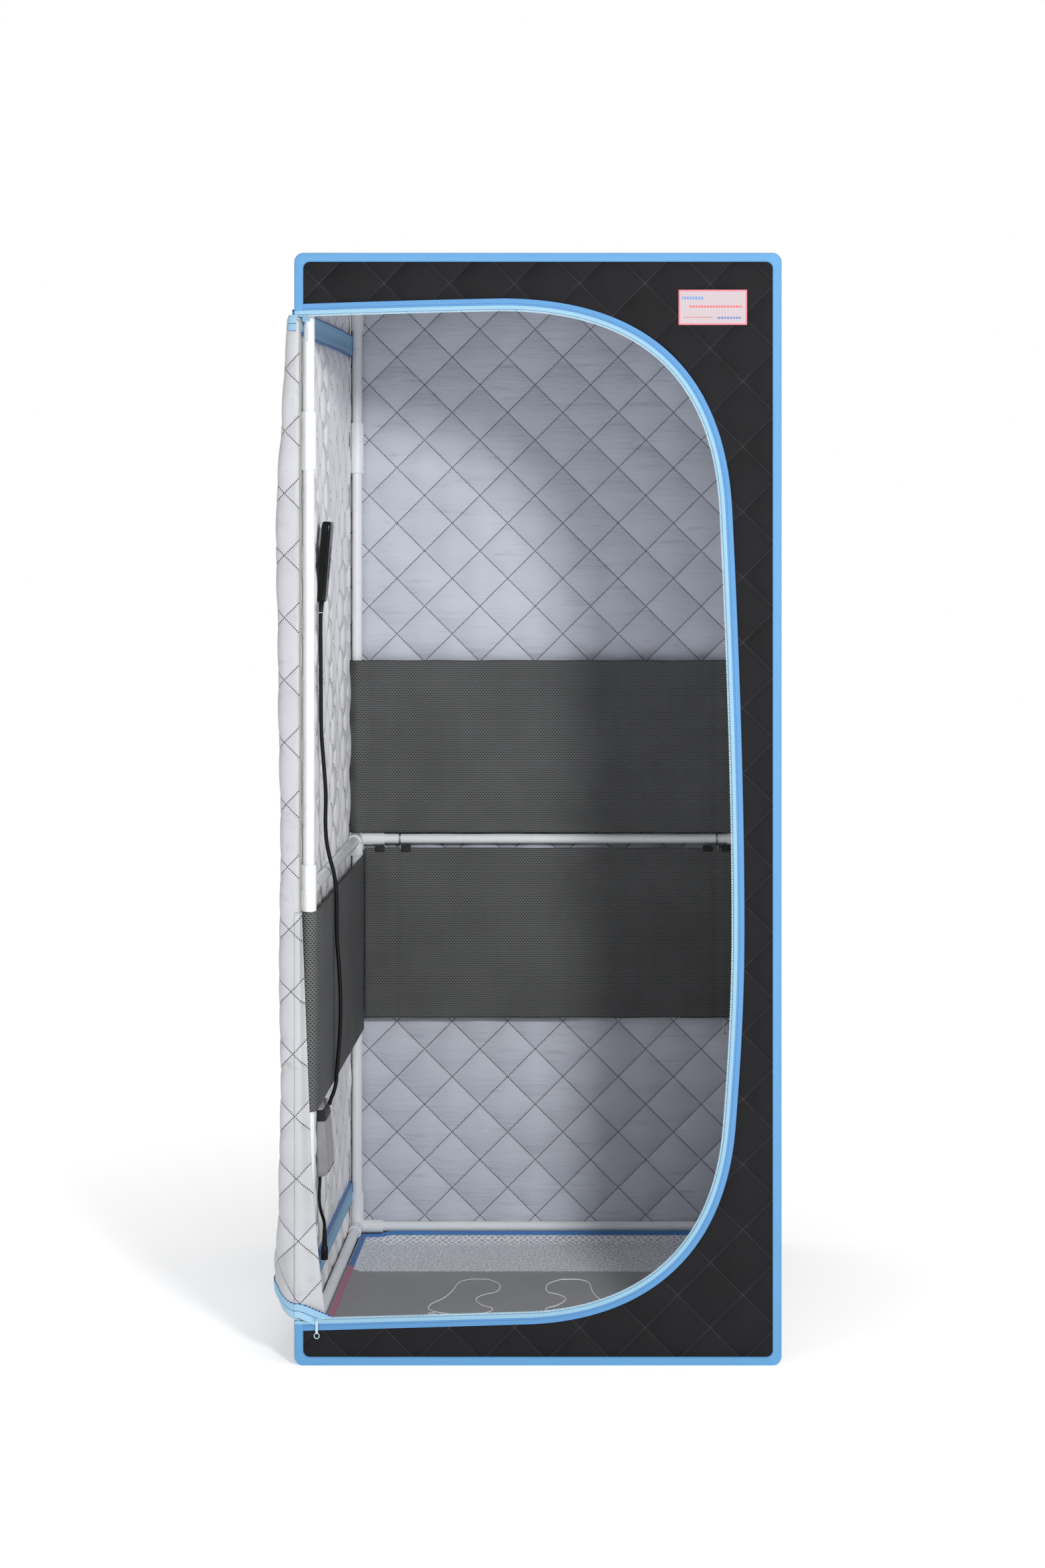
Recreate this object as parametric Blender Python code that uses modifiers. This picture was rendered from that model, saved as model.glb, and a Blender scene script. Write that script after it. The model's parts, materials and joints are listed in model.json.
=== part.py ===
"""Folding sauna cabin for one seated person, with its door open.

A quilted fabric cover with a zipped door hangs on a frame of push-fit white tubes. Soft heating
panels hang on the frame, two mats lie on the floor, and a wired handset is on the left wall.
Metres, +Z up. The origin is the centre of the floor's underside, and the door faces -Y.
"""

import math

import bmesh
import bpy
from mathutils import Matrix, Vector
from mathutils.geometry import interpolate_bezier

# Cover
HALF = 0.400                # half the width and half the depth of the cabin
HEIGHT = 1.830
WALL = 0.0055               # quilted fabric
EDGE_R = 0.015              # rounded edge of roof and floor
GAP = 0.0003                # between pieces that touch
END_GAP = 0.0005            # between the end of a piece and the piece that it stops at
INNER = HALF - WALL

# Frame
POST = 0.3795               # post axes, from the middle, along X and along Y
TUBE_R = 0.0095
TUBE_WALL = 0.0013
FIT_R = 0.0125              # outside of a socket
KNUCKLE_R = 0.0132          # ball where the sockets of a fitting meet
SOCKET_R = TUBE_R + GAP
ROOT = 0.001                # an arm starts this far from the fitting's centre, inside its ball
ROLL = math.radians(4)      # turns the facets of each arm a little from the last one's
STOP = 0.014                # from a fitting's centre to the bottom of its sockets
SEAT = STOP + END_GAP       # from a fitting's centre to the end of a tube
BOTTOM_Z = 0.036            # rail axes
MID_Z = 0.777
TOP_Z = 1.797
FOOT_R = 0.0054
COUPLER = (1.475, 1.570)    # sleeve that joins the upper post to the top post
COUPLER_STOP = 1.522
COUPLER_TAPER = 0.002
SIDES = 16

# Door
SHEET = 0.005               # door fabric
STAND_OFF = 0.001           # between a fold's axis and the fabric beside it
FOLD_AXIS = (-0.395, -0.401)
FOLD_WIDTH = 0.030          # strip between the cabin's corner and the first fold of the door
FOLD_Z = (0.125, 1.672)
LEAF_START = FOLD_AXIS[0] + FOLD_WIDTH + END_GAP    # closed door: where the leaf starts
ZIP_CLEAR = 0.008           # between the leaf's edge and the zip's edge
ZIP_TOP = (-HALF, 1.727)    # ends of the zip on the front's left edge
ZIP_BOTTOM = (-HALF, 0.0757)
ZIP_CURVE = (               # the rest of the zip: knot, its handle before, its handle after
    ((-0.060, 1.7365), (-0.170, 1.7345), (0.155, 1.7365)),
    ((0.3005, 1.405), (0.289, 1.640), (0.3105, 1.200)),
    ((0.3205, 0.720), (0.3205, 0.950), (0.3205, 0.600)),
    ((0.306, 0.393), (0.3145, 0.503), (0.2895, 0.180)),
    ((-0.010, 0.087), (0.155, 0.095), (-0.140, 0.0830)),
)
ZIP_STEPS = 8               # points on each stretch of the zip's curve

# Zip sliders
SLIDER = (0.012, 0.0027, 0.009)
SLIDER_BEVEL = 0.0006
SLIDER_TOP = (-0.381, 1.7225)
SLIDER_BOTTOM = (-0.364, 0.0757)
SLIDER_TILT = (math.radians(-0.98), math.radians(-1.55))    # top and bottom, along the zip
BAR_R = 0.0009
LEG_R = 0.00108
BAR_SIDES = 8
EYE_R = 0.0022              # outside of a pull tab's eye
EYE_BORE = 0.0012
TAB = 0.0012                # thickness of a pull tab
TAB_WIDTH = 0.005
TAB_REACH = 0.037           # from the eye's centre down
BLADE_WIDTH = 0.011         # the lower tab's blade
BLADE_REACH = (0.007, 0.031)
TAB_HOLE_R = 0.0028

# Heating panels and mats
PANEL = 0.005
SLEEVE = 0.0015             # cloth of the upper panel's sleeves round the posts
SIDE_SLEEVE = 0.0045        # padded cloth of a side panel's sleeve
SLEEVE_OVER_FITTING = 0.0129
SLEEVE_OVER_TUBE = 0.0099
BACK_UPPER_Z = (0.790, 1.118)
BACK_LOWER_Z = (0.432, 0.757)
SIDE_LOWER_Z = (0.4155, 0.744)
PANEL_FACE = 0.3645         # inner face of the lower panels, in front of the posts
MAT_HALF = 0.371
FLOOR_MAT = (WALL + GAP, 0.0118)
FOOT_MAT = (0.0121, 0.0166)
FOOT_MAT_Y = (-0.360, 0.125)

# Handset, cables and pouch
HANDSET = (0.016, 0.050, 0.140)
HANDSET_BEVEL = 0.003
HANDSET_AT = (-0.3795, -0.155, 1.317)
HANDSET_LEAN = math.radians(4.5)
RELIEF = (0.0046, 0.0037, 0.018)    # strain relief: radius at the handset, at its end, length
RELIEF_ROOT = 0.002         # how far it starts inside the handset
BUTTON_R = 0.005
BUTTON_LENGTH = 0.0028
BUTTON_PROUD = 0.0013
BUTTON_WELL = 0.003
BUTTON_Z = (0.012, -0.016)
CORD_STEP = 2.2             # length of a cable's segments, in diameters
CABLE_D = 0.0068
CABLE_ROUTE = (             # from the strain relief, in front of rail and panel, to the pouch
    (-0.3864, -0.155, 1.2286), (-0.3868, -0.155, 1.2100), (-0.3866, -0.155, 1.1700),
    (-0.3862, -0.155, 1.1000), (-0.3855, -0.155, 1.0250), (-0.3818, -0.155, 0.9740),
    (-0.3778, -0.155, 0.9170), (-0.3785, -0.155, 0.8680), (-0.3765, -0.155, 0.8350),
    (-0.3710, -0.155, 0.8060), (-0.3636, -0.155, 0.7780), (-0.3595, -0.155, 0.7450),
    (-0.3590, -0.155, 0.7000), (-0.3582, -0.155, 0.6600), (-0.3550, -0.155, 0.6200),
    (-0.3522, -0.155, 0.5600), (-0.3530, -0.155, 0.5060), (-0.3562, -0.155, 0.4640),
    (-0.3585, -0.155, 0.4380), (-0.3600, -0.155, 0.4170), (-0.3640, -0.155, 0.4000),
    (-0.3690, -0.155, 0.3880), (-0.3712, -0.155, 0.3785),
)
POUCH = ((-0.3925, -0.180, 0.257), (-0.3695, -0.090, 0.378))
POUCH_BEVEL = 0.006
LEAD_D = 0.0055
LEAD_ROUTE = (              # from under the pouch to its hanging connector
    (-0.3860, -0.1700, 0.2567), (-0.3862, -0.1702, 0.2480), (-0.3868, -0.1712, 0.2360),
    (-0.3872, -0.1722, 0.2230), (-0.3862, -0.1722, 0.2090), (-0.3838, -0.1700, 0.1960),
    (-0.3812, -0.1662, 0.1860), (-0.3796, -0.1628, 0.1775), (-0.3792, -0.1618, 0.1686),
)
CONNECTOR_R = 0.0062
CONNECTOR_NECK_R = 0.00465
CONNECTOR_Z = (0.112, 0.168)

FINISHES = {                # colour, roughness, metallic
    "tube": ((0.83, 0.85, 0.87), 0.35, 0.0),
    "black_quilt": ((0.018, 0.018, 0.020), 0.75, 0.0),
    "lining": ((0.48, 0.50, 0.56), 0.60, 0.0),
    "silver": ((0.42, 0.43, 0.45), 0.35, 0.2),
    "mesh_cloth": ((0.072, 0.076, 0.076), 0.90, 0.0),
    "foot_cloth": ((0.17, 0.17, 0.175), 0.90, 0.0),
    "pouch_cloth": ((0.20, 0.20, 0.22), 0.85, 0.0),
    "zip_paint": ((0.38, 0.62, 0.80), 0.35, 0.0),
    "black_plastic": ((0.012, 0.012, 0.013), 0.20, 0.0),
    "button_plastic": ((0.35, 0.36, 0.38), 0.40, 0.0),
    "cable": ((0.015, 0.015, 0.016), 0.45, 0.0),
}

X, Y, Z = Vector((1, 0, 0)), Vector((0, 1, 0)), Vector((0, 0, 1))
QUARTER = math.pi / 2


# ---------------------------------------------------------------- making pieces

def new_collection(name):
    collection = bpy.data.collections.new(name)
    bpy.context.scene.collection.children.link(collection)
    return collection


def material(name, finish):
    colour, roughness, metallic = FINISHES[finish]
    made = bpy.data.materials.new(name)
    made.use_nodes = True
    shader = made.node_tree.nodes["Principled BSDF"]
    shader.inputs["Base Color"].default_value = (*colour, 1)
    shader.inputs["Roughness"].default_value = roughness
    shader.inputs["Metallic"].default_value = metallic
    return made


def add(name, data, finish, location=(0, 0, 0), rotation=(0, 0, 0), parent=None):
    """Add a sub-part. Its location is in the world, or in its parent's frame."""
    piece = bpy.data.objects.new(name, data)
    parts.objects.link(piece)
    piece.location = location
    piece.rotation_euler = rotation
    piece.parent = parent
    data.materials.append(material(name + "_finish", finish))
    return piece


def pivot(name, location, rotation=(0, 0, 0), parent=None):
    """Add an empty on a joint's axis."""
    empty = bpy.data.objects.new(name, None)
    parts.objects.link(empty)
    empty.location = location
    empty.rotation_euler = rotation
    empty.parent = parent
    return empty


def mesh_from(bm, name, smooth=True):
    mesh = bpy.data.meshes.new(name)
    bm.to_mesh(mesh)
    bm.free()
    if smooth:
        mesh.shade_smooth()
        mesh.set_sharp_from_angle(angle=math.radians(35))
    return mesh


def box_mesh(name, size, bevel=0.0):
    bm = bmesh.new()
    bmesh.ops.create_cube(bm, size=1, matrix=Matrix.Diagonal((*size, 1)))
    if bevel:
        bmesh.ops.bevel(bm, geom=bm.edges[:], offset=bevel, segments=2, profile=0.5, affect="EDGES")
    return mesh_from(bm, name)


def box(name, low, high, finish, bevel=0.0):
    low, high = Vector(low), Vector(high)
    return add(name, box_mesh(name, high - low, bevel), finish, (low + high) / 2)


def rod_mesh(name, start, end, radius, end_radius=None, sides=SIDES, roll=0.0):
    start, end = Vector(start), Vector(end)
    run = end - start
    place = Matrix.Translation((start + end) / 2) @ Z.rotation_difference(run).to_matrix().to_4x4()
    place @= Matrix.Rotation(roll, 4, "Z")
    bm = bmesh.new()
    bmesh.ops.create_cone(bm, cap_ends=True, segments=sides, radius1=radius,
                          radius2=radius if end_radius is None else end_radius,
                          depth=run.length, matrix=place)
    return mesh_from(bm, name)


def combine(piece, tool_mesh, operation):
    """Join a mesh to a piece (UNION) or cut it away (DIFFERENCE)."""
    tool = bpy.data.objects.new("tool", tool_mesh)
    cutters.objects.link(tool)
    tool.location, tool.rotation_euler, tool.parent = piece.location, piece.rotation_euler, piece.parent
    tool.hide_render = True
    tool.display_type = "WIRE"
    change = piece.modifiers.new(operation.title(), "BOOLEAN")
    change.operation = operation
    change.object = tool
    with bpy.context.temp_override(object=piece):
        bpy.ops.object.modifier_apply(modifier=change.name)
    bpy.data.objects.remove(tool)


def turned(name, profile, finish, location=(0, 0, 0), rotation=(0, 0, 0)):
    """Turn a closed profile of (radius, height) about Z. The profile's outer side runs down."""
    count = len(profile)
    mesh = bpy.data.meshes.new(name)
    mesh.from_pydata([(r, 0, z) for r, z in profile], [(i, (i + 1) % count) for i in range(count)], [])
    piece = add(name, mesh, finish, location, rotation)
    screw = piece.modifiers.new("Turn", "SCREW")
    screw.steps = screw.render_steps = SIDES
    screw.use_merge_vertices = True
    screw.merge_threshold = 0.00005
    screw.use_smooth_shade = True
    return piece


def tube(name, start, end):
    """Hollow frame tube between two points."""
    start, end = Vector(start), Vector(end)
    half = (end - start).length / 2
    bore = TUBE_R - TUBE_WALL
    profile = ((TUBE_R, half), (TUBE_R, -half), (bore, -half), (bore, half))
    turn = Z.rotation_difference(end - start).to_euler()
    return turned(name, profile, "tube", (start + end) / 2, turn)


def flat(name, outlines, thickness, finish, location=(0, 0, 0), rotation=(0, 0, 0), parent=None):
    """Flat piece from closed outlines in its own XY plane. Outlines inside the first are holes."""
    curve = bpy.data.curves.new(name, "CURVE")
    curve.dimensions = "2D"
    curve.fill_mode = "BOTH"
    curve.extrude = thickness / 2
    for outline in outlines:
        spline = curve.splines.new("POLY")
        spline.points.add(len(outline) - 1)
        for point, (x, y) in zip(spline.points, outline):
            point.co = (x, y, 0, 1)
        spline.use_cyclic_u = True
    return add(name, curve, finish, location, rotation, parent)


def as_mesh(piece):
    """Turn a curve piece into a mesh piece, which can be cut and joined."""
    name, data = piece.name, piece.data
    mesh = bpy.data.meshes.new_from_object(piece.evaluated_get(bpy.context.evaluated_depsgraph_get()))
    bm = bmesh.new()
    bm.from_mesh(mesh)
    bmesh.ops.remove_doubles(bm, verts=bm.verts, dist=1e-6)
    bm.to_mesh(mesh)
    bm.free()
    place = (piece.location.copy(), piece.rotation_euler.copy(), piece.parent)
    bpy.data.objects.remove(piece)
    bpy.data.curves.remove(data)
    solid = bpy.data.objects.new(name, mesh)
    parts.objects.link(solid)
    solid.location, solid.rotation_euler, solid.parent = place
    return solid


def arc(centre, radius, start, end, steps):
    """Points on an arc, with its angles in degrees."""
    angles = [math.radians(start + (end - start) * i / steps) for i in range(steps + 1)]
    return [(centre[0] + radius * math.cos(a), centre[1] + radius * math.sin(a)) for a in angles]


# ---------------------------------------------------------------- frame

def corners():
    """Each post's label with the signs of its X and Y."""
    return (("front_left", -1, -1), ("front_right", 1, -1), ("back_left", -1, 1), ("back_right", 1, 1))


def fitting(name, centre, arms, foot=0.0):
    """Moulded fitting: a ball with a blind socket for each arm, and a foot where it has one."""
    bm = bmesh.new()
    askew = Matrix.Rotation(0.3, 4, "X") @ Matrix.Rotation(0.2, 4, "Y")
    bmesh.ops.create_uvsphere(bm, u_segments=SIDES, v_segments=8, radius=KNUCKLE_R, matrix=askew)
    piece = add(name, mesh_from(bm, name), "tube", centre)
    for number, (direction, reach) in enumerate(arms, 1):
        arm = rod_mesh(name, direction * ROOT * number, direction * reach, FIT_R, roll=number * ROLL)
        combine(piece, arm, "UNION")
    if foot:
        combine(piece, rod_mesh(name, -Z * ROOT, -Z * foot, FOOT_R), "UNION")
    for direction, reach in arms:
        combine(piece, rod_mesh(name, direction * STOP, direction * (reach + STOP), SOCKET_R), "DIFFERENCE")


def make_fittings():
    for label, sx, sy in corners():
        along_x, along_y = -sx * X, -sy * Y
        fitting("bottom_corner_" + label, (sx * POST, sy * POST, BOTTOM_Z),
                ((Z, 0.066), (along_x, 0.050), (along_y, 0.050)), foot=BOTTOM_Z - WALL - GAP)
        rails = [(along_y, 0.052)]
        if sy > 0:
            rails.append((along_x, 0.052))
        fitting("mid_tee_" + label, (sx * POST, sy * POST, MID_Z), [(Z, 0.044), (-Z, 0.032)] + rails)
        fitting("top_corner_" + label, (sx * POST, sy * POST, TOP_Z),
                ((-Z, 0.051), (along_x, 0.050), (along_y, 0.050)))


def upper_post(label, sx, sy):
    """Post tube with its coupler sleeve, which the top post stands in."""
    low = MID_Z + SEAT
    bore = TUBE_R - TUBE_WALL
    profile = ((FIT_R, COUPLER[1]), (FIT_R, COUPLER[0]), (TUBE_R, COUPLER[0] - COUPLER_TAPER), (TUBE_R, low),
               (bore, low), (bore, COUPLER_STOP), (SOCKET_R, COUPLER_STOP), (SOCKET_R, COUPLER[1]))
    middle = (low + COUPLER[1]) / 2
    turned("upper_post_" + label, [(r, z - middle) for r, z in profile], "tube",
           (sx * POST, sy * POST, middle))


def make_posts():
    for label, sx, sy in corners():
        x, y = sx * POST, sy * POST
        tube("lower_post_" + label, (x, y, BOTTOM_Z + SEAT), (x, y, MID_Z - SEAT))
        upper_post(label, sx, sy)
        tube("top_post_" + label, (x, y, COUPLER_STOP + END_GAP), (x, y, TOP_Z - SEAT))


def make_rails():
    end = POST - SEAT
    for level, z in (("bottom", BOTTOM_Z), ("mid", MID_Z), ("top", TOP_Z)):
        for side, y in (("front", -POST), ("back", POST)):
            if (level, side) != ("mid", "front"):
                tube(f"{level}_rail_{side}", (-end, y, z), (end, y, z))
        for side, x in (("left", -POST), ("right", POST)):
            tube(f"{level}_rail_{side}", (x, -end, z), (x, end, z))


# ---------------------------------------------------------------- cover and door

def zip_line():
    """Points (x, z) along the zip, from its upper end round the door to its lower end."""
    line = [Vector(ZIP_TOP)]
    before = (ZIP_TOP, ZIP_TOP, (-0.290, 1.7310))
    after = (ZIP_BOTTOM, (-0.270, 0.0795), ZIP_BOTTOM)
    knots = (before, *ZIP_CURVE, after)
    for (knot, _, leave), (next_knot, arrive, _) in zip(knots, knots[1:]):
        knots_and_handles = (Vector(point) for point in (knot, leave, arrive, next_knot))
        points = interpolate_bezier(*knots_and_handles, ZIP_STEPS + 1)
        line += [Vector(point[:2]) for point in points[1:]]
    return line


def shifted_inwards(line, distance):
    """The same line moved towards the inside of the door, which is on its right-hand side."""
    moved = []
    for i, point in enumerate(line):
        run = line[min(i + 1, len(line) - 1)] - line[max(i - 1, 0)]
        moved.append(point + Vector((run.y, -run.x)).normalized() * distance)
    return moved


def door_outline():
    """Outline (x, z) of the closed door's leaf."""
    line = shifted_inwards(zip_line(), ZIP_CLEAR)
    kept = [point for point in line if point.x > LEAF_START]
    first = next(i for i, point in enumerate(line) if point.x > LEAF_START)
    last = len(line) - next(i for i, point in enumerate(line[::-1]) if point.x > LEAF_START)
    return [crossing(line[first - 1], line[first])] + kept + [crossing(line[last], line[last - 1])]


def crossing(outside, inside):
    """Where the segment between two points meets the leaf's straight edge."""
    share = (LEAF_START - outside.x) / (inside.x - outside.x)
    return outside.lerp(inside, share)


def make_front():
    """Front surround: a C around the door opening, which runs out at the left edge."""
    r = EDGE_R
    outline = arc((HALF - r, HEIGHT - r), r, 90, 0, 4) + arc((HALF - r, r), r, 0, -90, 4)
    outline += arc((r - HALF, r), r, -90, -180, 4)
    outline += [tuple(point) for point in reversed(zip_line())]
    outline += arc((r - HALF, HEIGHT - r), r, 180, 90, 4)
    flat("cover_front", [outline], WALL, "black_quilt", (0, -HALF + WALL / 2, 0), (QUARTER, 0, 0))


def lid_outline():
    """Section of the roof: a sheet with its two long edges turned down."""
    r = EDGE_R
    outer = arc((HALF - r, -r), r, 0, 90, 4) + arc((r - HALF, -r), r, 90, 180, 4)
    inner = arc((r - HALF, -r), r - WALL, 180, 90, 4) + arc((HALF - r, -r), r - WALL, 90, 0, 4)
    return outer + inner


def make_back():
    """Back wall, which fits inside the turned-down edges of roof and floor."""
    r = EDGE_R - WALL - GAP
    x, low, high = HALF - EDGE_R, EDGE_R, HEIGHT - EDGE_R
    outline = arc((x, high), r, 90, 0, 4) + arc((x, low), r, 0, -90, 4)
    outline += arc((-x, low), r, -90, -180, 4) + arc((-x, high), r, 180, 90, 4)
    flat("cover_back", [outline], WALL, "black_quilt", (0, HALF - WALL / 2, 0), (QUARTER, 0, 0))


def make_cover():
    make_front()
    depth = INNER - GAP + HALF
    y = HALF - depth / 2
    lid = lid_outline()
    flat("cover_roof", [lid], depth, "black_quilt", (0, y, HEIGHT), (QUARTER, 0, 0))
    flat("cover_floor", [[(x, -z) for x, z in lid]], depth, "black_quilt", (0, y, 0), (QUARTER, 0, 0))
    low, high = EDGE_R + GAP, HEIGHT - EDGE_R - GAP
    front = GAP - INNER
    box("cover_left", (-HALF, front, low), (-INNER, HALF, high), "black_quilt")
    box("cover_right", (INNER, front, low), (HALF, HALF, high), "black_quilt")
    make_back()


def make_door():
    """Door fabric folded back: a narrow strip at the corner, and the leaf along the left wall."""
    fold_pivot = pivot("door_fold_pivot", (*FOLD_AXIS, 0))
    strip = box_mesh("door_fold", (FOLD_WIDTH - STAND_OFF, SHEET, FOLD_Z[1] - FOLD_Z[0]))
    place = (-FOLD_WIDTH / 2, -STAND_OFF - SHEET / 2, sum(FOLD_Z) / 2)
    add("door_fold", strip, "lining", place, parent=fold_pivot)
    leaf_pivot = pivot("door_leaf_pivot", (-FOLD_WIDTH, 0, 0), parent=fold_pivot)
    reach = FOLD_AXIS[0] + FOLD_WIDTH
    outline = [(x - reach, z) for x, z in door_outline()]
    flat("door_leaf", [outline], SHEET, "lining", (-STAND_OFF - SHEET / 2, 0, 0),
         (QUARTER, 0, QUARTER), leaf_pivot)


# ---------------------------------------------------------------- zip sliders

def eye_outline(bore, outside, near, far, reach):
    """A ring with a straight tail that leaves it sideways, from near to far from its centre."""
    start = math.degrees(math.acos(near / outside))
    ring = arc((0, 0), outside, start, 360, 12)
    return [ring + [(far, 0), (far, reach), (near, reach)], arc((0, 0), bore, 0, 330, 11)]


def make_slider(label, place, tilt):
    """Zip slider: a plate with a bar in front of it, along the zip."""
    x, z = place
    length, depth, width = SLIDER
    reach = length / 2 - BAR_R
    piece = add("zip_slider_" + label, box_mesh("slider", SLIDER, SLIDER_BEVEL), "zip_paint",
                (x, -HALF - GAP - depth / 2, z), (0, tilt, 0))
    bar_y = -depth / 2 - GAP - EYE_R
    for side in (-1, 1):
        foot, top = (side * reach, 0, 0), (side * reach, bar_y, 0)
        combine(piece, rod_mesh("leg", foot, top, LEG_R, sides=BAR_SIDES), "UNION")
    ends = (-length / 2, bar_y, 0), (length / 2, bar_y, 0)
    combine(piece, rod_mesh("bar", *ends, BAR_R, sides=BAR_SIDES), "UNION")
    return pivot("pull_tab_pivot_" + label, (0, bar_y, 0), (0, -tilt, 0), piece)


def make_tab(label, reach, hinge):
    """Pull tab with an eye round the slider's bar, hanging down."""
    outlines = eye_outline(EYE_BORE, EYE_R, EYE_R - TAB, EYE_R, reach)
    return flat("pull_tab_" + label, outlines, TAB_WIDTH, "zip_paint",
                rotation=(-QUARTER, 0, QUARTER), parent=hinge)


def widen_tab(tab):
    """Give a tab a wide blade with a round hole near its end."""
    tab = as_mesh(tab)
    low, high = BLADE_REACH
    blade = Matrix.Translation((EYE_R - TAB / 2, (low + high) / 2, 0))
    bm = bmesh.new()
    bmesh.ops.create_cube(bm, size=1, matrix=blade @ Matrix.Diagonal((TAB, high - low, BLADE_WIDTH, 1)))
    combine(tab, mesh_from(bm, "blade"), "UNION")
    hole_y = high - BLADE_WIDTH / 2
    combine(tab, rod_mesh("hole", (0, hole_y, 0), (EYE_R * 2, hole_y, 0), TAB_HOLE_R), "DIFFERENCE")


def make_zip():
    hinge = make_slider("top", SLIDER_TOP, SLIDER_TILT[0])
    make_tab("top", TAB_REACH, hinge)
    hinge = make_slider("bottom", SLIDER_BOTTOM, SLIDER_TILT[1])
    widen_tab(make_tab("bottom", BLADE_REACH[0] + TAB, hinge))


# ---------------------------------------------------------------- heating panels and mats

def back_upper_outline():
    """Plan of a panel across the front of both back posts, with a sleeve round each."""
    outside = SLEEVE_OVER_FITTING + SLEEVE
    dip = math.degrees(math.asin((outside - PANEL) / outside))
    right = arc((POST, 0), outside, -90, 180 + dip, 14)
    left = arc((-POST, 0), outside, -dip, 270, 14)
    holes = [arc((x, 0), SLEEVE_OVER_FITTING, 0, 337.5, 15) for x in (-POST, POST)]
    return [right + left] + holes


def make_panels():
    height = BACK_UPPER_Z[1] - BACK_UPPER_Z[0]
    flat("heater_back_upper", back_upper_outline(), height, "mesh_cloth",
         (0, POST, sum(BACK_UPPER_Z) / 2))
    low, high = BACK_LOWER_Z
    reach = PANEL_FACE - END_GAP
    box("heater_back_lower", (-reach, PANEL_FACE, low), (reach, PANEL_FACE + PANEL, high), "mesh_cloth")
    low, high = SIDE_LOWER_Z
    near = POST - PANEL_FACE - PANEL
    outlines = eye_outline(SLEEVE_OVER_TUBE, SLEEVE_OVER_TUBE + SIDE_SLEEVE, near, near + PANEL,
                           POST + PANEL_FACE + PANEL)
    for label, side, turn in (("left", -1, 0), ("right", 1, math.pi)):
        flat("heater_" + label, outlines, high - low, "mesh_cloth", (side * POST, -POST, (low + high) / 2),
             (0, turn, 0))


def make_mats():
    low, high = FLOOR_MAT
    box("floor_mat", (-MAT_HALF, -MAT_HALF, low), (MAT_HALF, MAT_HALF, high), "silver")
    low, high = FOOT_MAT
    box("foot_mat", (-MAT_HALF, FOOT_MAT_Y[0], low), (MAT_HALF, FOOT_MAT_Y[1], high), "foot_cloth")


# ---------------------------------------------------------------- handset, pouch and cables

def make_handset():
    """Handset with its strain relief, in a frame that leans with it."""
    frame = pivot("handset_frame", HANDSET_AT, (0, HANDSET_LEAN, 0))
    face, length = HANDSET[0] / 2, HANDSET[2]
    shell = box_mesh("handset_body", HANDSET, HANDSET_BEVEL)
    body = add("handset_body", shell, "black_plastic", parent=frame)
    wide, narrow, reach = RELIEF
    end = -length / 2 - reach
    combine(body, rod_mesh("relief", (0, 0, end), (0, 0, RELIEF_ROOT - length / 2), narrow, wide), "UNION")
    for number, z in enumerate(BUTTON_Z, 1):
        well = rod_mesh("well", (face - BUTTON_WELL, 0, z), (face + BUTTON_WELL, 0, z), BUTTON_R + GAP)
        combine(body, well, "DIFFERENCE")
        half = BUTTON_LENGTH / 2
        add(f"handset_button_{number}", rod_mesh("button", (-half, 0, 0), (half, 0, 0), BUTTON_R),
            "button_plastic", (face + BUTTON_PROUD - half, 0, z), parent=frame)


def smooth_route(route, spacing):
    """Evenly spaced points on a smooth curve through the route's points."""
    fine = []
    for i in range(len(route) - 1):
        a, b, c, d = (Vector(route[min(max(k, 0), len(route) - 1)]) for k in (i - 1, i, i + 1, i + 2))
        fine += [b + (c - a) * (t / 2) + (2 * a - 5 * b + 4 * c - d) * (t * t / 2)
                 + (3 * b - a - 3 * c + d) * (t ** 3 / 2) for t in (k / 16 for k in range(16))]
    fine.append(Vector(route[-1]))
    reached = [0.0]
    for a, b in zip(fine, fine[1:]):
        reached.append(reached[-1] + (b - a).length)
    count = round(reached[-1] / spacing)
    points, k = [], 0
    for i in range(count + 1):
        want = reached[-1] * i / count
        while k < len(fine) - 2 and reached[k + 1] < want:
            k += 1
        points.append(fine[k].lerp(fine[k + 1], (want - reached[k]) / (reached[k + 1] - reached[k])))
    return points


def cord(name, route, diameter):
    """Round cable along a smooth route."""
    points = smooth_route(route, diameter * CORD_STEP)
    curve = bpy.data.curves.new(name, "CURVE")
    curve.dimensions = "3D"
    curve.bevel_depth = diameter / 2
    curve.bevel_resolution = 2
    curve.use_fill_caps = True
    spline = curve.splines.new("POLY")
    spline.points.add(len(points) - 1)
    for point, place in zip(spline.points, points):
        point.co = (*place, 1)
    return add(name, curve, "cable")


def make_cables():
    cord("handset_cable", CABLE_ROUTE, CABLE_D)
    cord("connector_lead", LEAD_ROUTE, LEAD_D)
    box("pouch", *POUCH, "pouch_cloth", bevel=POUCH_BEVEL)
    x, y, top = LEAD_ROUTE[-1]
    add("connector", connector_mesh(), "black_plastic", (x, y, CONNECTOR_Z[0]))


def connector_mesh():
    """Straight connector on its lead: a sleeve that narrows to the cable."""
    length = CONNECTOR_Z[1] - CONNECTOR_Z[0]
    bm = bmesh.new()
    bmesh.ops.create_cone(bm, cap_ends=True, segments=SIDES, radius1=CONNECTOR_R, radius2=CONNECTOR_NECK_R,
                          depth=length, matrix=Matrix.Translation((0, 0, length / 2)))
    return mesh_from(bm, "connector")


# ---------------------------------------------------------------- the whole cabin

for old in list(bpy.data.objects):
    bpy.data.objects.remove(old)
parts = new_collection("sauna_cabin")
cutters = new_collection("cutters")
make_fittings()
make_posts()
make_rails()
make_cover()
make_door()
make_zip()
make_panels()
make_mats()
make_handset()
make_cables()
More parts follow.
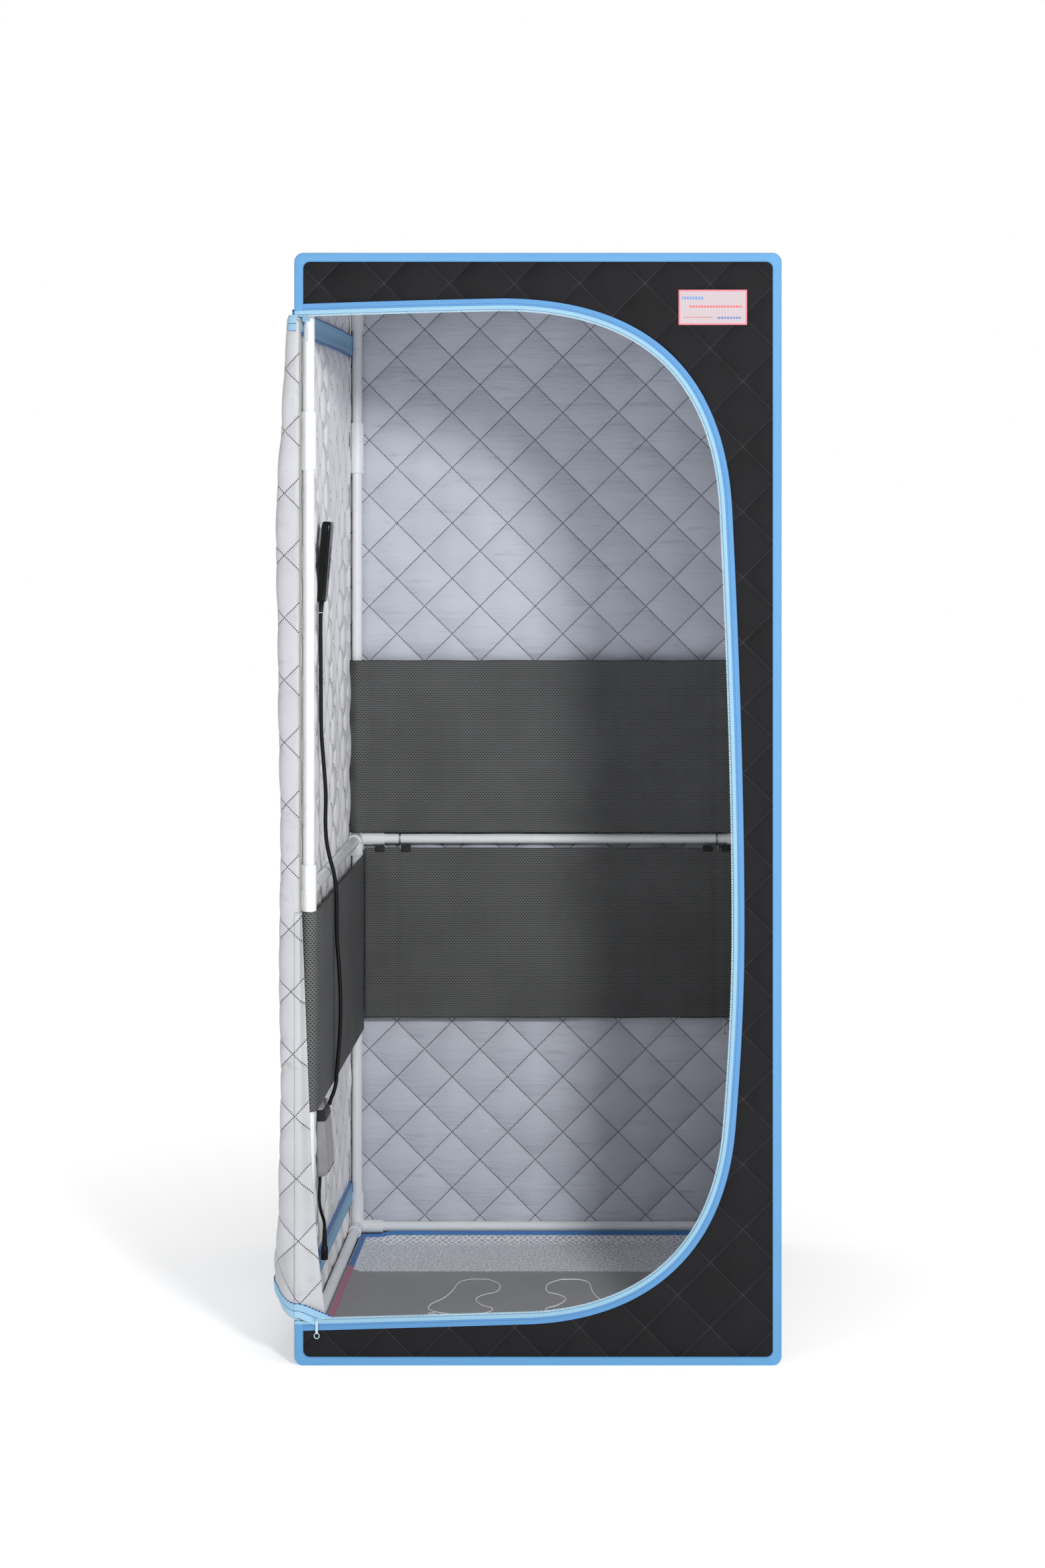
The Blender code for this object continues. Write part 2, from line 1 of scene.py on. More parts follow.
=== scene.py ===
"""Looks of the folding sauna cabin: quilted cover, zipped door, tube frame, heating panels, mats.

Metres, +Z up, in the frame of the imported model. Cloth carries UV coordinates in metres along its
own sheet, so that quilting, weave and stitches keep their real size.
"""

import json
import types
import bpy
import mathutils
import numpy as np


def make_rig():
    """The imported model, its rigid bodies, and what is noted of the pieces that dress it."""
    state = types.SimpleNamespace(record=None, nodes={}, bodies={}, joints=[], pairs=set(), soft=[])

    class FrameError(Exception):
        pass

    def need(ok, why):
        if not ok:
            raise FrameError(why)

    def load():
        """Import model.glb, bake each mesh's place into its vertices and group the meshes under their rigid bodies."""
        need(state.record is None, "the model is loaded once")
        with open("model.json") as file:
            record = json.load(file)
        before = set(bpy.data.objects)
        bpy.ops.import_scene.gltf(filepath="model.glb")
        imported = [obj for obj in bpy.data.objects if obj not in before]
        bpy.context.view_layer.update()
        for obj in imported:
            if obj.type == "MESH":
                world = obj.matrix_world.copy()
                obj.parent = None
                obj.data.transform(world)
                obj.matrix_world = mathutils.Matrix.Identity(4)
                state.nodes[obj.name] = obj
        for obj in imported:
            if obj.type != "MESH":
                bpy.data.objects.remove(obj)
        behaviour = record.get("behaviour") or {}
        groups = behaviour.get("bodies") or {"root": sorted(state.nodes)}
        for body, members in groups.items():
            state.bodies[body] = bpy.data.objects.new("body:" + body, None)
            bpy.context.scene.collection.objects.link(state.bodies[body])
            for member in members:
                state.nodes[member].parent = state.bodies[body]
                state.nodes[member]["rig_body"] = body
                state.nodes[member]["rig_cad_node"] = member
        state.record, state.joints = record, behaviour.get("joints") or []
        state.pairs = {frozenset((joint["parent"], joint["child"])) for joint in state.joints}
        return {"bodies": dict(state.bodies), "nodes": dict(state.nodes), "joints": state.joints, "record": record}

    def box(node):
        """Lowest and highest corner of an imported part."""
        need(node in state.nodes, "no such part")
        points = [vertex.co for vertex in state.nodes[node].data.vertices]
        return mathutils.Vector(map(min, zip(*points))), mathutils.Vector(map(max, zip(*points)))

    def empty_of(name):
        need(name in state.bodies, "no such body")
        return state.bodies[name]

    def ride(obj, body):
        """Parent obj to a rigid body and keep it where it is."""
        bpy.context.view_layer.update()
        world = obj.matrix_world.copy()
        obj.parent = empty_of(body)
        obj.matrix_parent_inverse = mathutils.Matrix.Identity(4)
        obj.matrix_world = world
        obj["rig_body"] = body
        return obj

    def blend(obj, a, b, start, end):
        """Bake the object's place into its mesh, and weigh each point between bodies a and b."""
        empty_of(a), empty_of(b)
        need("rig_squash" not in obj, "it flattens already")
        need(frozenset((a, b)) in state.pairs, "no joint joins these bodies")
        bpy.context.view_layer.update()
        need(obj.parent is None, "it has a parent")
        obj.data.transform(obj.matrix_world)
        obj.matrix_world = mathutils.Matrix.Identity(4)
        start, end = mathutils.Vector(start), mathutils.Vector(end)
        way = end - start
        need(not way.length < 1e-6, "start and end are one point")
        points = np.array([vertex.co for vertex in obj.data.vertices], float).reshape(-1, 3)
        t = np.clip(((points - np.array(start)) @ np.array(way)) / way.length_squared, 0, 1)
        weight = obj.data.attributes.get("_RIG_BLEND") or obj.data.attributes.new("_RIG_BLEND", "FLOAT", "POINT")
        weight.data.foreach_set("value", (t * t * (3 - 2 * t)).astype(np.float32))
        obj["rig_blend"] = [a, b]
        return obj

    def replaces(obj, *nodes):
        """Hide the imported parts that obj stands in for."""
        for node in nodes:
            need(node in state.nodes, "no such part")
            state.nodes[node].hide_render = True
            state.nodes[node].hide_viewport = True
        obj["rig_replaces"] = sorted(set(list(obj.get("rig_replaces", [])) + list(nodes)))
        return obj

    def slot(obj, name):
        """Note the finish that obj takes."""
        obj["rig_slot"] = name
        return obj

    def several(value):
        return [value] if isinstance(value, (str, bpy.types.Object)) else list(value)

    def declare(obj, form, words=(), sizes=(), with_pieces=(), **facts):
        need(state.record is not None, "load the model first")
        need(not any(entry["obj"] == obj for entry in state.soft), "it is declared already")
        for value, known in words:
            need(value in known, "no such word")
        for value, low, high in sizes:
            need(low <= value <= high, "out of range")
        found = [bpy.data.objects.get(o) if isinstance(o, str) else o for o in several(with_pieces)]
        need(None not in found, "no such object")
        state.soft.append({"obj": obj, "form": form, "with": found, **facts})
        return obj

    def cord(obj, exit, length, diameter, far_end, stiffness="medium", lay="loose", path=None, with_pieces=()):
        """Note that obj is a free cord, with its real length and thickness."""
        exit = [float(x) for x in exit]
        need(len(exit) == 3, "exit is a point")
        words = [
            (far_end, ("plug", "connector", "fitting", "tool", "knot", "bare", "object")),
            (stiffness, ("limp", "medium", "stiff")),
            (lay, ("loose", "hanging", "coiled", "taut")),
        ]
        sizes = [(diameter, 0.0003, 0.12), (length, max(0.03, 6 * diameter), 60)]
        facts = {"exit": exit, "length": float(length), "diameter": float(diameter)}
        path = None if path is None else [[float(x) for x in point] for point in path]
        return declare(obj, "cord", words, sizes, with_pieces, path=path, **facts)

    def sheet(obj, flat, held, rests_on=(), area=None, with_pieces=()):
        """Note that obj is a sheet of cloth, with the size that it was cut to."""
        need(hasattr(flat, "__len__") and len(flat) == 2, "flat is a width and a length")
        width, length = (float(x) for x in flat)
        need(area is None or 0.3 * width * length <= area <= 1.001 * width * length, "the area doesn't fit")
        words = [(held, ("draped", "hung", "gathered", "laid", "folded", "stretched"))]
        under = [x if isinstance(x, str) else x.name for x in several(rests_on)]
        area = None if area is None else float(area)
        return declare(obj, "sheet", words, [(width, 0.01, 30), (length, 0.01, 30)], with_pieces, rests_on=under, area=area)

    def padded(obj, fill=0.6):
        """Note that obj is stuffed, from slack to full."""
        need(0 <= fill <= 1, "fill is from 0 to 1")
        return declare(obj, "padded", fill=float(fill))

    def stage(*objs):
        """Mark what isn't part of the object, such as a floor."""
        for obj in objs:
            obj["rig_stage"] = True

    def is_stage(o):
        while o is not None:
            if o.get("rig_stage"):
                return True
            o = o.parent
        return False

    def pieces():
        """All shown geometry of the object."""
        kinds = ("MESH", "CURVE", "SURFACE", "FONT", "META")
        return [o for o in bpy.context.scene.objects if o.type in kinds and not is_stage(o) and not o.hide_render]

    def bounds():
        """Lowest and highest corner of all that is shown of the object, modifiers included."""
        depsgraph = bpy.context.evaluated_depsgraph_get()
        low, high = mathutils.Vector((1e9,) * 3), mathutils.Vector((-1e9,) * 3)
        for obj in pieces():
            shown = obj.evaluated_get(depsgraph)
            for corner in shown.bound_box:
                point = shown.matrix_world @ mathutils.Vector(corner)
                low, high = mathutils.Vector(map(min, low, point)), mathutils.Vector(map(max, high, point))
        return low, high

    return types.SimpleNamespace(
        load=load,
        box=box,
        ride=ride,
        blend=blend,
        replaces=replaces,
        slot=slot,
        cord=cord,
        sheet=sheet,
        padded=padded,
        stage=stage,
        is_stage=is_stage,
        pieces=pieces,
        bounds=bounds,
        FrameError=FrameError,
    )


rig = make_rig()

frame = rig.load()
cad_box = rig.bounds()

import json
import math

import bmesh
import bpy
import numpy as np
from mathutils import Matrix, Vector
from mathutils.geometry import interpolate_bezier

# ---------------------------------------------------------------- sizes

FRONT_LOW, FRONT_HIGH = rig.box("cover_front")
HALF = FRONT_HIGH.x                     # half the cabin's width and depth
HEIGHT = FRONT_HIGH.z
FACE_Y = FRONT_LOW.y                    # front face of the cabin
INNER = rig.box("cover_right")[0].x      # inner face of the walls
WALL = HALF - INNER
POST_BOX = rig.box("lower_post_front_right")
POST = (POST_BOX[0].x + POST_BOX[1].x) / 2  # X and Y of the corner posts
TUBE_R = (POST_BOX[1].x - POST_BOX[0].x) / 2
DIAMOND = 0.106                         # quilting: full width and height of a diamond
EDGE_R = 0.015                          # rounding of the cabin's long edges
TRIM = 0.0135                           # blue binding round the front
ZIP_PITCH = 0.0026                      # from tooth to tooth
WALL_CELL = 0.0075                      # mesh size of the quilted cloth
PANEL_CELL = 0.006                      # and of the heating panels
MAT_CELL = 0.008                        # and of the mats
RIM_FADE = 0.03                         # cloth flattens this close to its rim
STITCH = 0.0038                         # pitch of the quilting's dotted stitches
FLOOR_HALF = 9.0                        # half the width of the studio floor

# ---------------------------------------------------------------- camera and lights

CAMERA_AT = (0.214, -5.27, 1.431)
LENS = 67.9
SHIFT = (-0.0927, -0.1837)


def make_camera():
    data = bpy.data.cameras.new("camera")
    data.lens, data.sensor_width = LENS, 36.0
    data.shift_x, data.shift_y = SHIFT
    camera = new_object("camera", data)
    camera.location = CAMERA_AT
    camera.rotation_euler = (math.pi / 2, 0, 0)
    bpy.context.scene.camera = camera


def area_light(name, place, target, size, power):
    data = bpy.data.lights.new(name, "AREA")
    data.shape, data.size, data.energy = "DISK", size, power
    light = new_object(name, data)
    light.location = place
    light.rotation_euler = (Vector(target) - Vector(place)).to_track_quat("-Z", "Y").to_euler()


def make_studio():
    """Pale floor, white surroundings, a soft key from the front right and a weak fill."""
    world = bpy.data.worlds.new("studio")
    world.use_nodes = True
    nodes, links = world.node_tree.nodes, world.node_tree.links
    nodes["Background"].inputs["Color"].default_value = (1, 1, 1, 1)
    seen = nodes.new("ShaderNodeLightPath")
    strength = nodes.new("ShaderNodeMapRange")
    strength.inputs["To Min"].default_value, strength.inputs["To Max"].default_value = 0.44, 1.0
    links.new(seen.outputs["Is Camera Ray"], strength.inputs["Value"])
    links.new(strength.outputs[0], nodes["Background"].inputs["Strength"])
    bpy.context.scene.world = world
    bpy.context.scene.view_settings.view_transform = "Standard"
    area_light("key", (1.75, -4.4, 2.55), (0, 0, 1.0), 0.70, 126)
    area_light("fill", (-2.6, -3.4, 2.2), (0, 0, 0.9), 2.0, 12)
    area_light("top", (0.3, -0.5, 4.2), (0, 0, 0.9), 2.5, 24)
    corners = [(x * FLOOR_HALF, y * FLOOR_HALF, 0) for x, y in ((-1, -1), (1, -1), (1, 1), (-1, 1))]
    floor = new_object("studio_floor", new_mesh("studio_floor", corners, [(0, 1, 2, 3)]), floor_paint())
    floor.location.z = -0.0005
    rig.stage(floor)


# ---------------------------------------------------------------- node materials

class Paint:
    """A Principled material and short ways to add and wire its nodes."""

    def __init__(self, name, roughness=0.6, metallic=0.0, sheen=0.0, coat=0.0, specular=0.5):
        self.material = bpy.data.materials.new(name)
        self.material.use_nodes = True
        self.tree = self.material.node_tree
        self.shader = self.tree.nodes["Principled BSDF"]
        self.wire(self.shader, {"Roughness": roughness, "Metallic": metallic, "Sheen Weight": sheen,
                                "Sheen Roughness": 0.4, "Coat Weight": coat, "Specular IOR Level": specular})
        self.bumps = []

    def node(self, kind, *links, **settings):
        made = self.tree.nodes.new("ShaderNode" + kind)
        for name, value in settings.items():
            setattr(made, name, value)
        for slot, value in enumerate(links):
            self.feed(made.inputs[slot], value)
        return made

    def feed(self, slot, value):
        if value is None:
            return
        if isinstance(value, bpy.types.NodeSocket):
            self.tree.links.new(value, slot)
        else:
            slot.default_value = value

    def wire(self, made, values):
        """Link or set a node's inputs by name."""
        for name, value in values.items():
            self.feed(made.inputs[name], value)
        return made

    def math(self, operation, a, b=None):
        return self.node("Math", a, b, operation=operation).outputs[0]

    def gap(self, a, b):
        return self.math("ABSOLUTE", self.math("SUBTRACT", a, b))

    def sine(self, value, factor):
        return self.math("SINE", self.math("MULTIPLY", value, factor))

    def uv(self):
        return self.node("UVMap").outputs[0]

    def place(self):
        return self.node("TexCoord").outputs["Object"]

    def split(self, vector):
        made = self.node("SeparateXYZ", vector)
        return made.outputs[0], made.outputs[1]

    def noise(self, vector, scale, detail=3.0, rough=0.55, stretch=None):
        if stretch:
            vector = self.node("VectorMath", vector, stretch, operation="MULTIPLY").outputs[0]
        values = {"Vector": vector, "Scale": scale, "Detail": detail, "Roughness": rough}
        return self.wire(self.node("TexNoise"), values).outputs["Fac"]

    def ramp(self, value, low, high, to_low=0.0, to_high=1.0):
        values = {"From Min": low, "From Max": high, "To Min": to_low, "To Max": to_high}
        return self.wire(self.node("MapRange", value), values).outputs[0]

    def mix(self, share, a, b):
        made = self.node("Mix", data_type="RGBA")
        self.feed(made.inputs["Factor"], share)
        a_slot, b_slot = (x for x in made.inputs if x.name in "AB" and x.type == "RGBA")
        self.feed(a_slot, rgba(a))
        self.feed(b_slot, rgba(b))
        return next(x for x in made.outputs if x.type == "RGBA")

    def colour(self, value):
        self.feed(self.shader.inputs["Base Color"], rgba(value))

    def rough(self, value):
        self.feed(self.shader.inputs["Roughness"], value)

    def bump(self, height, distance, strength=1.0):
        """Stack a bump on the ones before it."""
        made = self.wire(self.node("Bump"), {"Strength": strength, "Distance": distance, "Height": height})
        if self.bumps:
            self.feed(made.inputs["Normal"], self.bumps[-1].outputs[0])
        self.bumps.append(made)
        self.feed(self.shader.inputs["Normal"], made.outputs[0])


def rgba(value):
    """A colour socket as it is, or an sRGB colour from 0 to 255 made linear."""
    if isinstance(value, bpy.types.NodeSocket):
        return value
    linear = [(v / 255 / 12.92 if v < 11 else ((v / 255 + 0.055) / 1.055) ** 2.4) for v in value]
    return (*linear, 1.0)


def tint(base, share):
    """A colour from 0 to 255 made darker or lighter."""
    return [min(255, c * share) for c in base]


def floor_paint():
    """Studio floor: pale, glowing more with distance so that it runs into the white round it."""
    paint = Paint("studio_floor", roughness=0.9)
    paint.colour((245, 245, 246))
    far = paint.node("VectorMath", paint.place(), operation="LENGTH").outputs["Value"]
    paint.shader.inputs["Emission Color"].default_value = (1, 1, 1, 1)
    paint.feed(paint.shader.inputs["Emission Strength"], paint.ramp(far, 0.6, 2.6, 0.42, 0.68))
    return paint.material


def stitched_lines(p, u, v, period, pitch, width):
    """Mask of the dotted stitches on both families of diagonals."""
    masks = []
    for across, along in (("ADD", "SUBTRACT"), ("SUBTRACT", "ADD")):
        a = p.math("DIVIDE", p.math(across, u, v), period)
        gap = p.gap(a, p.math("ROUND", a))
        line = p.math("LESS_THAN", gap, width / period)
        b = p.math("DIVIDE", p.math(along, u, v), pitch * math.sqrt(2))
        dash = p.math("LESS_THAN", p.math("FRACT", b), 0.52)
        masks.append(p.math("MULTIPLY", line, dash))
    return p.math("MAXIMUM", *masks)


def diamond_puff(p, u, v, period):
    """Height from 0 on the stitched lines to 1 in the middle of a diamond."""
    sides = []
    for across in ("ADD", "SUBTRACT"):
        sides.append(p.math("ABSOLUTE", p.sine(p.math(across, u, v), math.pi / period)))
    return p.math("POWER", p.math("MULTIPLY", *sides), 0.6)


def lining_paint(name, base, crease_scale, crease_stretch, bulge=0.0090, sheen=0.06):
    """Light grey satin lining: dotted quilting, soft creases with painted shade in their hollows, and a fine weave."""
    p = Paint(name, roughness=0.55, sheen=sheen)
    uv = p.uv()
    u, v = p.split(uv)
    stitch = stitched_lines(p, u, v, DIAMOND, STITCH, 0.0017)
    cloud = p.noise(uv, 5.0)
    tone = p.mix(p.ramp(cloud, 0.3, 0.7), tint(base, 0.965), tint(base, 1.02))
    creases = p.noise(uv, crease_scale, 4.0, 0.6, crease_stretch)
    # painted shade: the colour darkens in the hollows of the creases
    tone = p.mix(p.ramp(creases, 0.42, 0.30), tone, tint(base, 0.93))
    p.colour(p.mix(stitch, tone, (58, 60, 68)))
    p.rough(p.ramp(cloud, 0.2, 0.8, 0.50, 0.62))
    p.bump(diamond_puff(p, u, v, DIAMOND), bulge, 0.55)
    p.bump(creases, 0.0048, 0.6)
    p.bump(weave(p, uv, 0.0006), 0.00012, 0.35)
    p.bump(stitch, 0.0008, -0.5)
    return p.material


def weave(p, uv, pitch):
    """Plain weave of threads, as a height."""
    u, v = p.split(uv)
    waves = [p.sine(x, 2 * math.pi / pitch) for x in (u, v)]
    return p.math("MULTIPLY", *waves)


def black_quilt_paint(name):
    """Black quilted cover cloth with pale dotted stitches and a soft sheen on its creases."""
    p = Paint(name, roughness=0.62, sheen=0.02, specular=0.16)
    uv = p.uv()
    u, v = p.split(uv)
    stitch = stitched_lines(p, u, v, DIAMOND, STITCH, 0.0009)
    cloud = p.noise(uv, 9.0)
    tone = p.mix(p.ramp(cloud, 0.3, 0.7), (21, 21, 23), (28, 28, 31))
    p.colour(p.mix(stitch, tone, (66, 66, 70)))
    p.rough(p.ramp(cloud, 0.2, 0.8, 0.52, 0.70))
    p.bump(diamond_puff(p, u, v, DIAMOND), 0.0060, 0.9)
    p.bump(p.noise(uv, 30.0, 4.0, 0.6), 0.0022, 0.5)
    p.bump(weave(p, uv, 0.0007), 0.00015, 0.4)
    return p.material


def ribbon_paint(name, base, edge=None, rib=0.0016):
    """Woven tape. Its V coordinate runs across the tape from 0 to 1, and U along it in metres."""
    p = Paint(name, roughness=0.6, sheen=0.06)
    uv = p.uv()
    u, v = p.split(uv)
    cloud = p.noise(uv, 14.0)
    tone = p.mix(cloud, tint(base, 0.93), tint(base, 1.05))
    ribs = p.sine(u, 2 * math.pi / rib)
    tone = p.mix(p.ramp(ribs, -1, 1, 0.0, 0.12), tone, tint(base, 0.75))
    if edge:
        colour, places, width, pitch = edge
        dash = p.math("LESS_THAN", p.math("FRACT", p.math("DIVIDE", u, pitch)), 0.72)
        for place in places:
            near = p.math("LESS_THAN", p.gap(v, place), width)
            tone = p.mix(p.math("MULTIPLY", near, dash), tone, colour)
    p.colour(tone)
    p.bump(ribs, 0.00018, 0.6)
    p.bump(cloud, 0.0006, 0.4)
    return p.material


def plastic_paint(name, base, roughness, wear=0.03, coat=0.0, specular=0.5):
    """Moulded plastic with a faint orange peel and a little handling wear."""
    p = Paint(name, roughness=roughness, coat=coat, specular=specular)
    where = p.place()
    cloud = p.noise(where, 7.0, 4.0)
    p.colour(p.mix(p.ramp(cloud, 0.35, 0.65), tint(base, 1 - wear), base))
    p.rough(p.ramp(p.noise(where, 60.0, 2.0), 0.3, 0.7, roughness * 0.85, min(1, roughness * 1.25)))
    p.bump(p.noise(where, 420.0, 2.0), 0.00008, 0.25)
    return p.material


def mesh_cloth_paint(name, pitch, dark, light):
    """Knitted mesh: rows of small round holes, half a step apart from row to row."""
    p = Paint(name, roughness=0.8, sheen=0.02, specular=0.2)
    uv = p.uv()
    u, v = p.split(uv)
    row = p.math("DIVIDE", v, pitch * 0.62)
    odd = p.math("MULTIPLY", p.math("MODULO", p.math("FLOOR", row), 2.0), 0.5)
    column = p.math("ADD", p.math("DIVIDE", u, pitch), odd)
    squares = [p.math("POWER", p.math("SUBTRACT", p.math("FRACT", x), 0.5), 2.0) for x in (column, row)]
    far = p.math("SQRT", p.math("ADD", *squares))
    hole = p.ramp(far, 0.22, 0.38, 1.0, 0.0)
    cloud = p.noise(uv, 8.0)
    thread = p.mix(p.ramp(cloud, 0.3, 0.7), tint(light, 0.9), light)
    p.colour(p.mix(hole, thread, dark))
    p.bump(hole, 0.0006, -0.8)
    p.bump(cloud, 0.004, 0.25)
    return p.material


def silver_paint(name):
    """Silver bubble cloth of the floor mat: small crinkled cells, with glints painted into the colour as white
    speckles.
    """
    p = Paint(name, roughness=0.42, metallic=0.1)
    uv = p.uv()
    cell = p.node("TexVoronoi", feature="F1")
    p.feed(cell.inputs["Vector"], uv)
    cell.inputs["Scale"].default_value = 200.0
    threads = weave(p, uv, 0.0124)
    tone = p.mix(p.ramp(cell.outputs["Distance"], 0.1, 0.6), (222, 223, 226), (250, 250, 252))
    tone = p.mix(p.ramp(threads, -0.8, 0.5, 0.75, 0.0), tone, (152, 154, 158))
    crinkle_and_painted_glint = p.noise(uv, 210.0, 2.0)
    # painted highlight: white speckles in the colour where this noise peaks; the same noise also varies roughness and
    # bump
    p.colour(p.mix(p.ramp(crinkle_and_painted_glint, 0.55, 0.60), tone, (255, 255, 255)))
    p.rough(p.ramp(crinkle_and_painted_glint, 0.35, 0.65, 0.16, 0.60))
    p.bump(threads, 0.0012, 0.7)
    p.bump(cell.outputs["Distance"], 0.0010, 0.8)
    p.bump(crinkle_and_painted_glint, 0.0006, 0.9)
    return p.material


def foot_cloth_paint(name):
    """Grey cloth of the foot mat, with a dark grain."""
    p = Paint(name, roughness=0.85, sheen=0.2)
    uv = p.uv()
    cloud = p.noise(uv, 6.0)
    tone = p.mix(p.ramp(cloud, 0.3, 0.7), (142, 142, 144), (150, 150, 152))
    grain = p.noise(uv, 900.0, 2.0)
    p.colour(p.mix(p.ramp(grain, 0.35, 0.65, 0.0, 0.3), tone, (104, 104, 106)))
    p.bump(grain, 0.0004, 0.5)
    p.bump(cloud, 0.004, 0.3)
    return p.material


def metal_paint(name, base, roughness):
    """Bare metal with fine scratches."""
    p = Paint(name, roughness=roughness, metallic=1.0)
    where = p.place()
    scratch = p.noise(where, 300.0, 2.0, 0.5, (1, 1, 0.1))
    p.colour(p.mix(p.ramp(scratch, 0.3, 0.7), tint(base, 0.85), base))
    p.rough(p.ramp(scratch, 0.3, 0.7, roughness * 0.8, roughness * 1.3))
    return p.material


def thread_paint(name, base):
    """Cord, webbing or print of one colour, slightly uneven."""
    p = Paint(name, roughness=0.7, sheen=0.2)
    where = p.place()
    p.colour(p.mix(p.noise(where, 500.0), tint(base, 0.8), base))
    p.bump(p.noise(where, 900.0), 0.0003, 0.5)
    return p.material


# ---------------------------------------------------------------- mesh helpers

def new_object(name, data, *materials):
    """Object that shows the data in the scene."""
    for material in materials:
        data.materials.append(material)
    made = bpy.data.objects.new(name, data)
    bpy.context.scene.collection.objects.link(made)
    return made


def new_mesh(name, points, faces, corner_uvs=None):
    """Mesh of points and faces, with the UVs of each face's corners in turn."""
    mesh = bpy.data.meshes.new(name)
    mesh.from_pydata([tuple(p) for p in points], [], faces)
    if corner_uvs is not None:
        layer = mesh.uv_layers.new(name="UVMap")
        layer.data.foreach_set("uv", np.array(corner_uvs, np.float32).ravel())
    return mesh


def face_outwards(mesh):
    """Turn all faces of a closed mesh outwards."""
    bm = bmesh.new()
    bm.from_mesh(mesh)
    bmesh.ops.recalc_face_normals(bm, faces=bm.faces)
    bm.to_mesh(mesh)
    bm.free()


def unit(values):
    """Values held between 0 and 1."""
    return np.clip(values, 0, 1)


def stack(*columns):
    """Points from their coordinates."""
    return np.stack(columns, -1)


def mm(*rows):
    """Rows of numbers in millimetres, made metres."""
    return tuple(tuple(number / 1000 for number in row) for row in rows)


def spaced(low, high, step):
    """Evenly spaced values from low to high, about a step apart."""
    return np.linspace(low, high, round((high - low) / step) + 1)


def turns(count, start=0.0):
    """Angles all the way round."""
    return np.linspace(start, start + 2 * math.pi, count, endpoint=False)


def reach_of(points):
    """Distance of each point from the first, along the line."""
    return np.concatenate([[0], np.cumsum(np.linalg.norm(np.diff(points, axis=0), axis=1))])


def to_rim(u, v):
    """Distance of each point of a level grid from the grid's nearest rim."""
    return np.minimum.reduce([u - u.min(), u.max() - u, v - v.min(), v.max() - v])


def sheet_mesh(name, front, back, uv, materials):
    """Closed sheet from two grids of points (rows x columns x 3): a front face, a back face and rims."""
    rows, columns = front.shape[:2]
    count = rows * columns
    index = np.arange(count).reshape(rows, columns)
    quads = stack(index[:-1, :-1], index[:-1, 1:], index[1:, 1:], index[1:, :-1]).reshape(-1, 4)
    ring = np.concatenate([index[0], index[1:, -1], index[-1, -2::-1], index[-2:0:-1, 0]])
    onward = np.roll(ring, -1)
    faces = np.concatenate([quads, quads[:, ::-1] + count, stack(onward, ring, ring + count, onward + count)])
    points = np.concatenate([front.reshape(-1, 3), back.reshape(-1, 3)])
    uvs = np.concatenate([uv.reshape(-1, 2)] * 2)
    mesh = new_mesh(name, points, faces.tolist(), uvs[faces.ravel()])
    mesh.shade_smooth()
    made = new_object(name, mesh, *materials)
    kinds = np.zeros(len(faces), np.int32)
    kinds[len(quads):2 * len(quads)] = 1
    mesh.polygons.foreach_set("material_index", kinds)
    return made


def puff(u, v, height):
    """Quilting as geometry: how far the cloth stands out at sheet coordinates u, v."""
    a = np.abs(np.sin(np.pi * (u + v) / DIAMOND))
    b = np.abs(np.sin(np.pi * (u - v) / DIAMOND))
    return height * np.power(a * b, 0.45)


def ripple(u, v, seed, scale, depth):
    """Smooth unevenness of hanging cloth."""
    total = np.zeros(np.shape(u))
    rng = np.random.default_rng(seed)
    for _ in range(7):
        au, av = rng.uniform(0.4, 1.6, 2) * scale
        total = total + np.sin(u * au + rng.uniform(0, 6.3)) * np.sin(v * av + rng.uniform(0, 6.3))
    return total * depth / 3.0


def quilted_wall(name, plane, span_u, span_v, out, materials, seed, folds=0.0, flat=False, quilt=0.0030,
                 bands=()):
    """Flat quilted wall. plane(u, v, w) gives the point at w outside the wall's outer face."""
    u, v = np.meshgrid(spaced(*span_u, WALL_CELL), spaced(*span_v, WALL_CELL))
    fade = unit(to_rim(u, v) / RIM_FADE)
    for level in bands:
        fade = fade * unit((np.abs(v - level) - 0.022) / 0.02)
    wave = ripple(u, v, seed, 14.0, 0.0012) * fade
    wave = wave + folds * np.sin(u * 2 * np.pi / 0.045 + 2.0 * np.sin(v * 5.0 + u * 9.0)) * fade
    outer = plane(u, v, u * 0 if flat else wave - 0.0016 + puff(u, v, 0.0026) * fade)
    inner = plane(u, v, wave - WALL + 0.0012 - puff(u, v, quilt) * fade)
    return sheet_mesh(name, outer[:, ::out], inner[:, ::out], stack(u, v)[:, ::out], materials)


def loft(name, rails, shares, material, closed=False, sharp=50):
    """Skin over rails (profile x path x 3), closed across. UVs: metres along, and the rail's share across."""
    m, n = rails.shape[:2]
    along = reach_of(rails[0])
    faces, uvs = [], []
    for i in range(n if closed else n - 1):
        j = (i + 1) % n
        reach = along[i + 1] if i + 1 < n else along[i] + np.linalg.norm(rails[0, 0] - rails[0, -1])
        for k in range(m):
            q = (k + 1) % m
            faces.append((k * n + i, q * n + i, q * n + j, k * n + j))
            uvs += [(along[i], shares[k]), (along[i], shares[q]), (reach, shares[q]), (reach, shares[k])]
    if not closed:
        for i in (0, n - 1):
            faces.append([k * n + i for k in range(m)])
            uvs += [(along[i], share) for share in shares]
    mesh = new_mesh(name, rails.reshape(-1, 3), faces, uvs)
    face_outwards(mesh)
    mesh.shade_smooth()
    mesh.set_sharp_from_angle(angle=math.radians(sharp))
    return new_object(name, mesh, material)


def ribbon(name, path, outward, profile, material, side=(0, -1, 0), closed=False):
    """Band along a path. Its closed profile is a list of (out, proud), proud along side."""
    path, outward, side = np.array(path, float), np.array(outward, float), np.array(side, float)
    rails = np.stack([path + outward * out + side * proud for out, proud in profile])
    reach = [out for out, _ in profile]
    shares = [(out - min(reach)) / (max(reach) - min(reach)) for out in reach]
    return loft(name, rails, shares, material, closed)


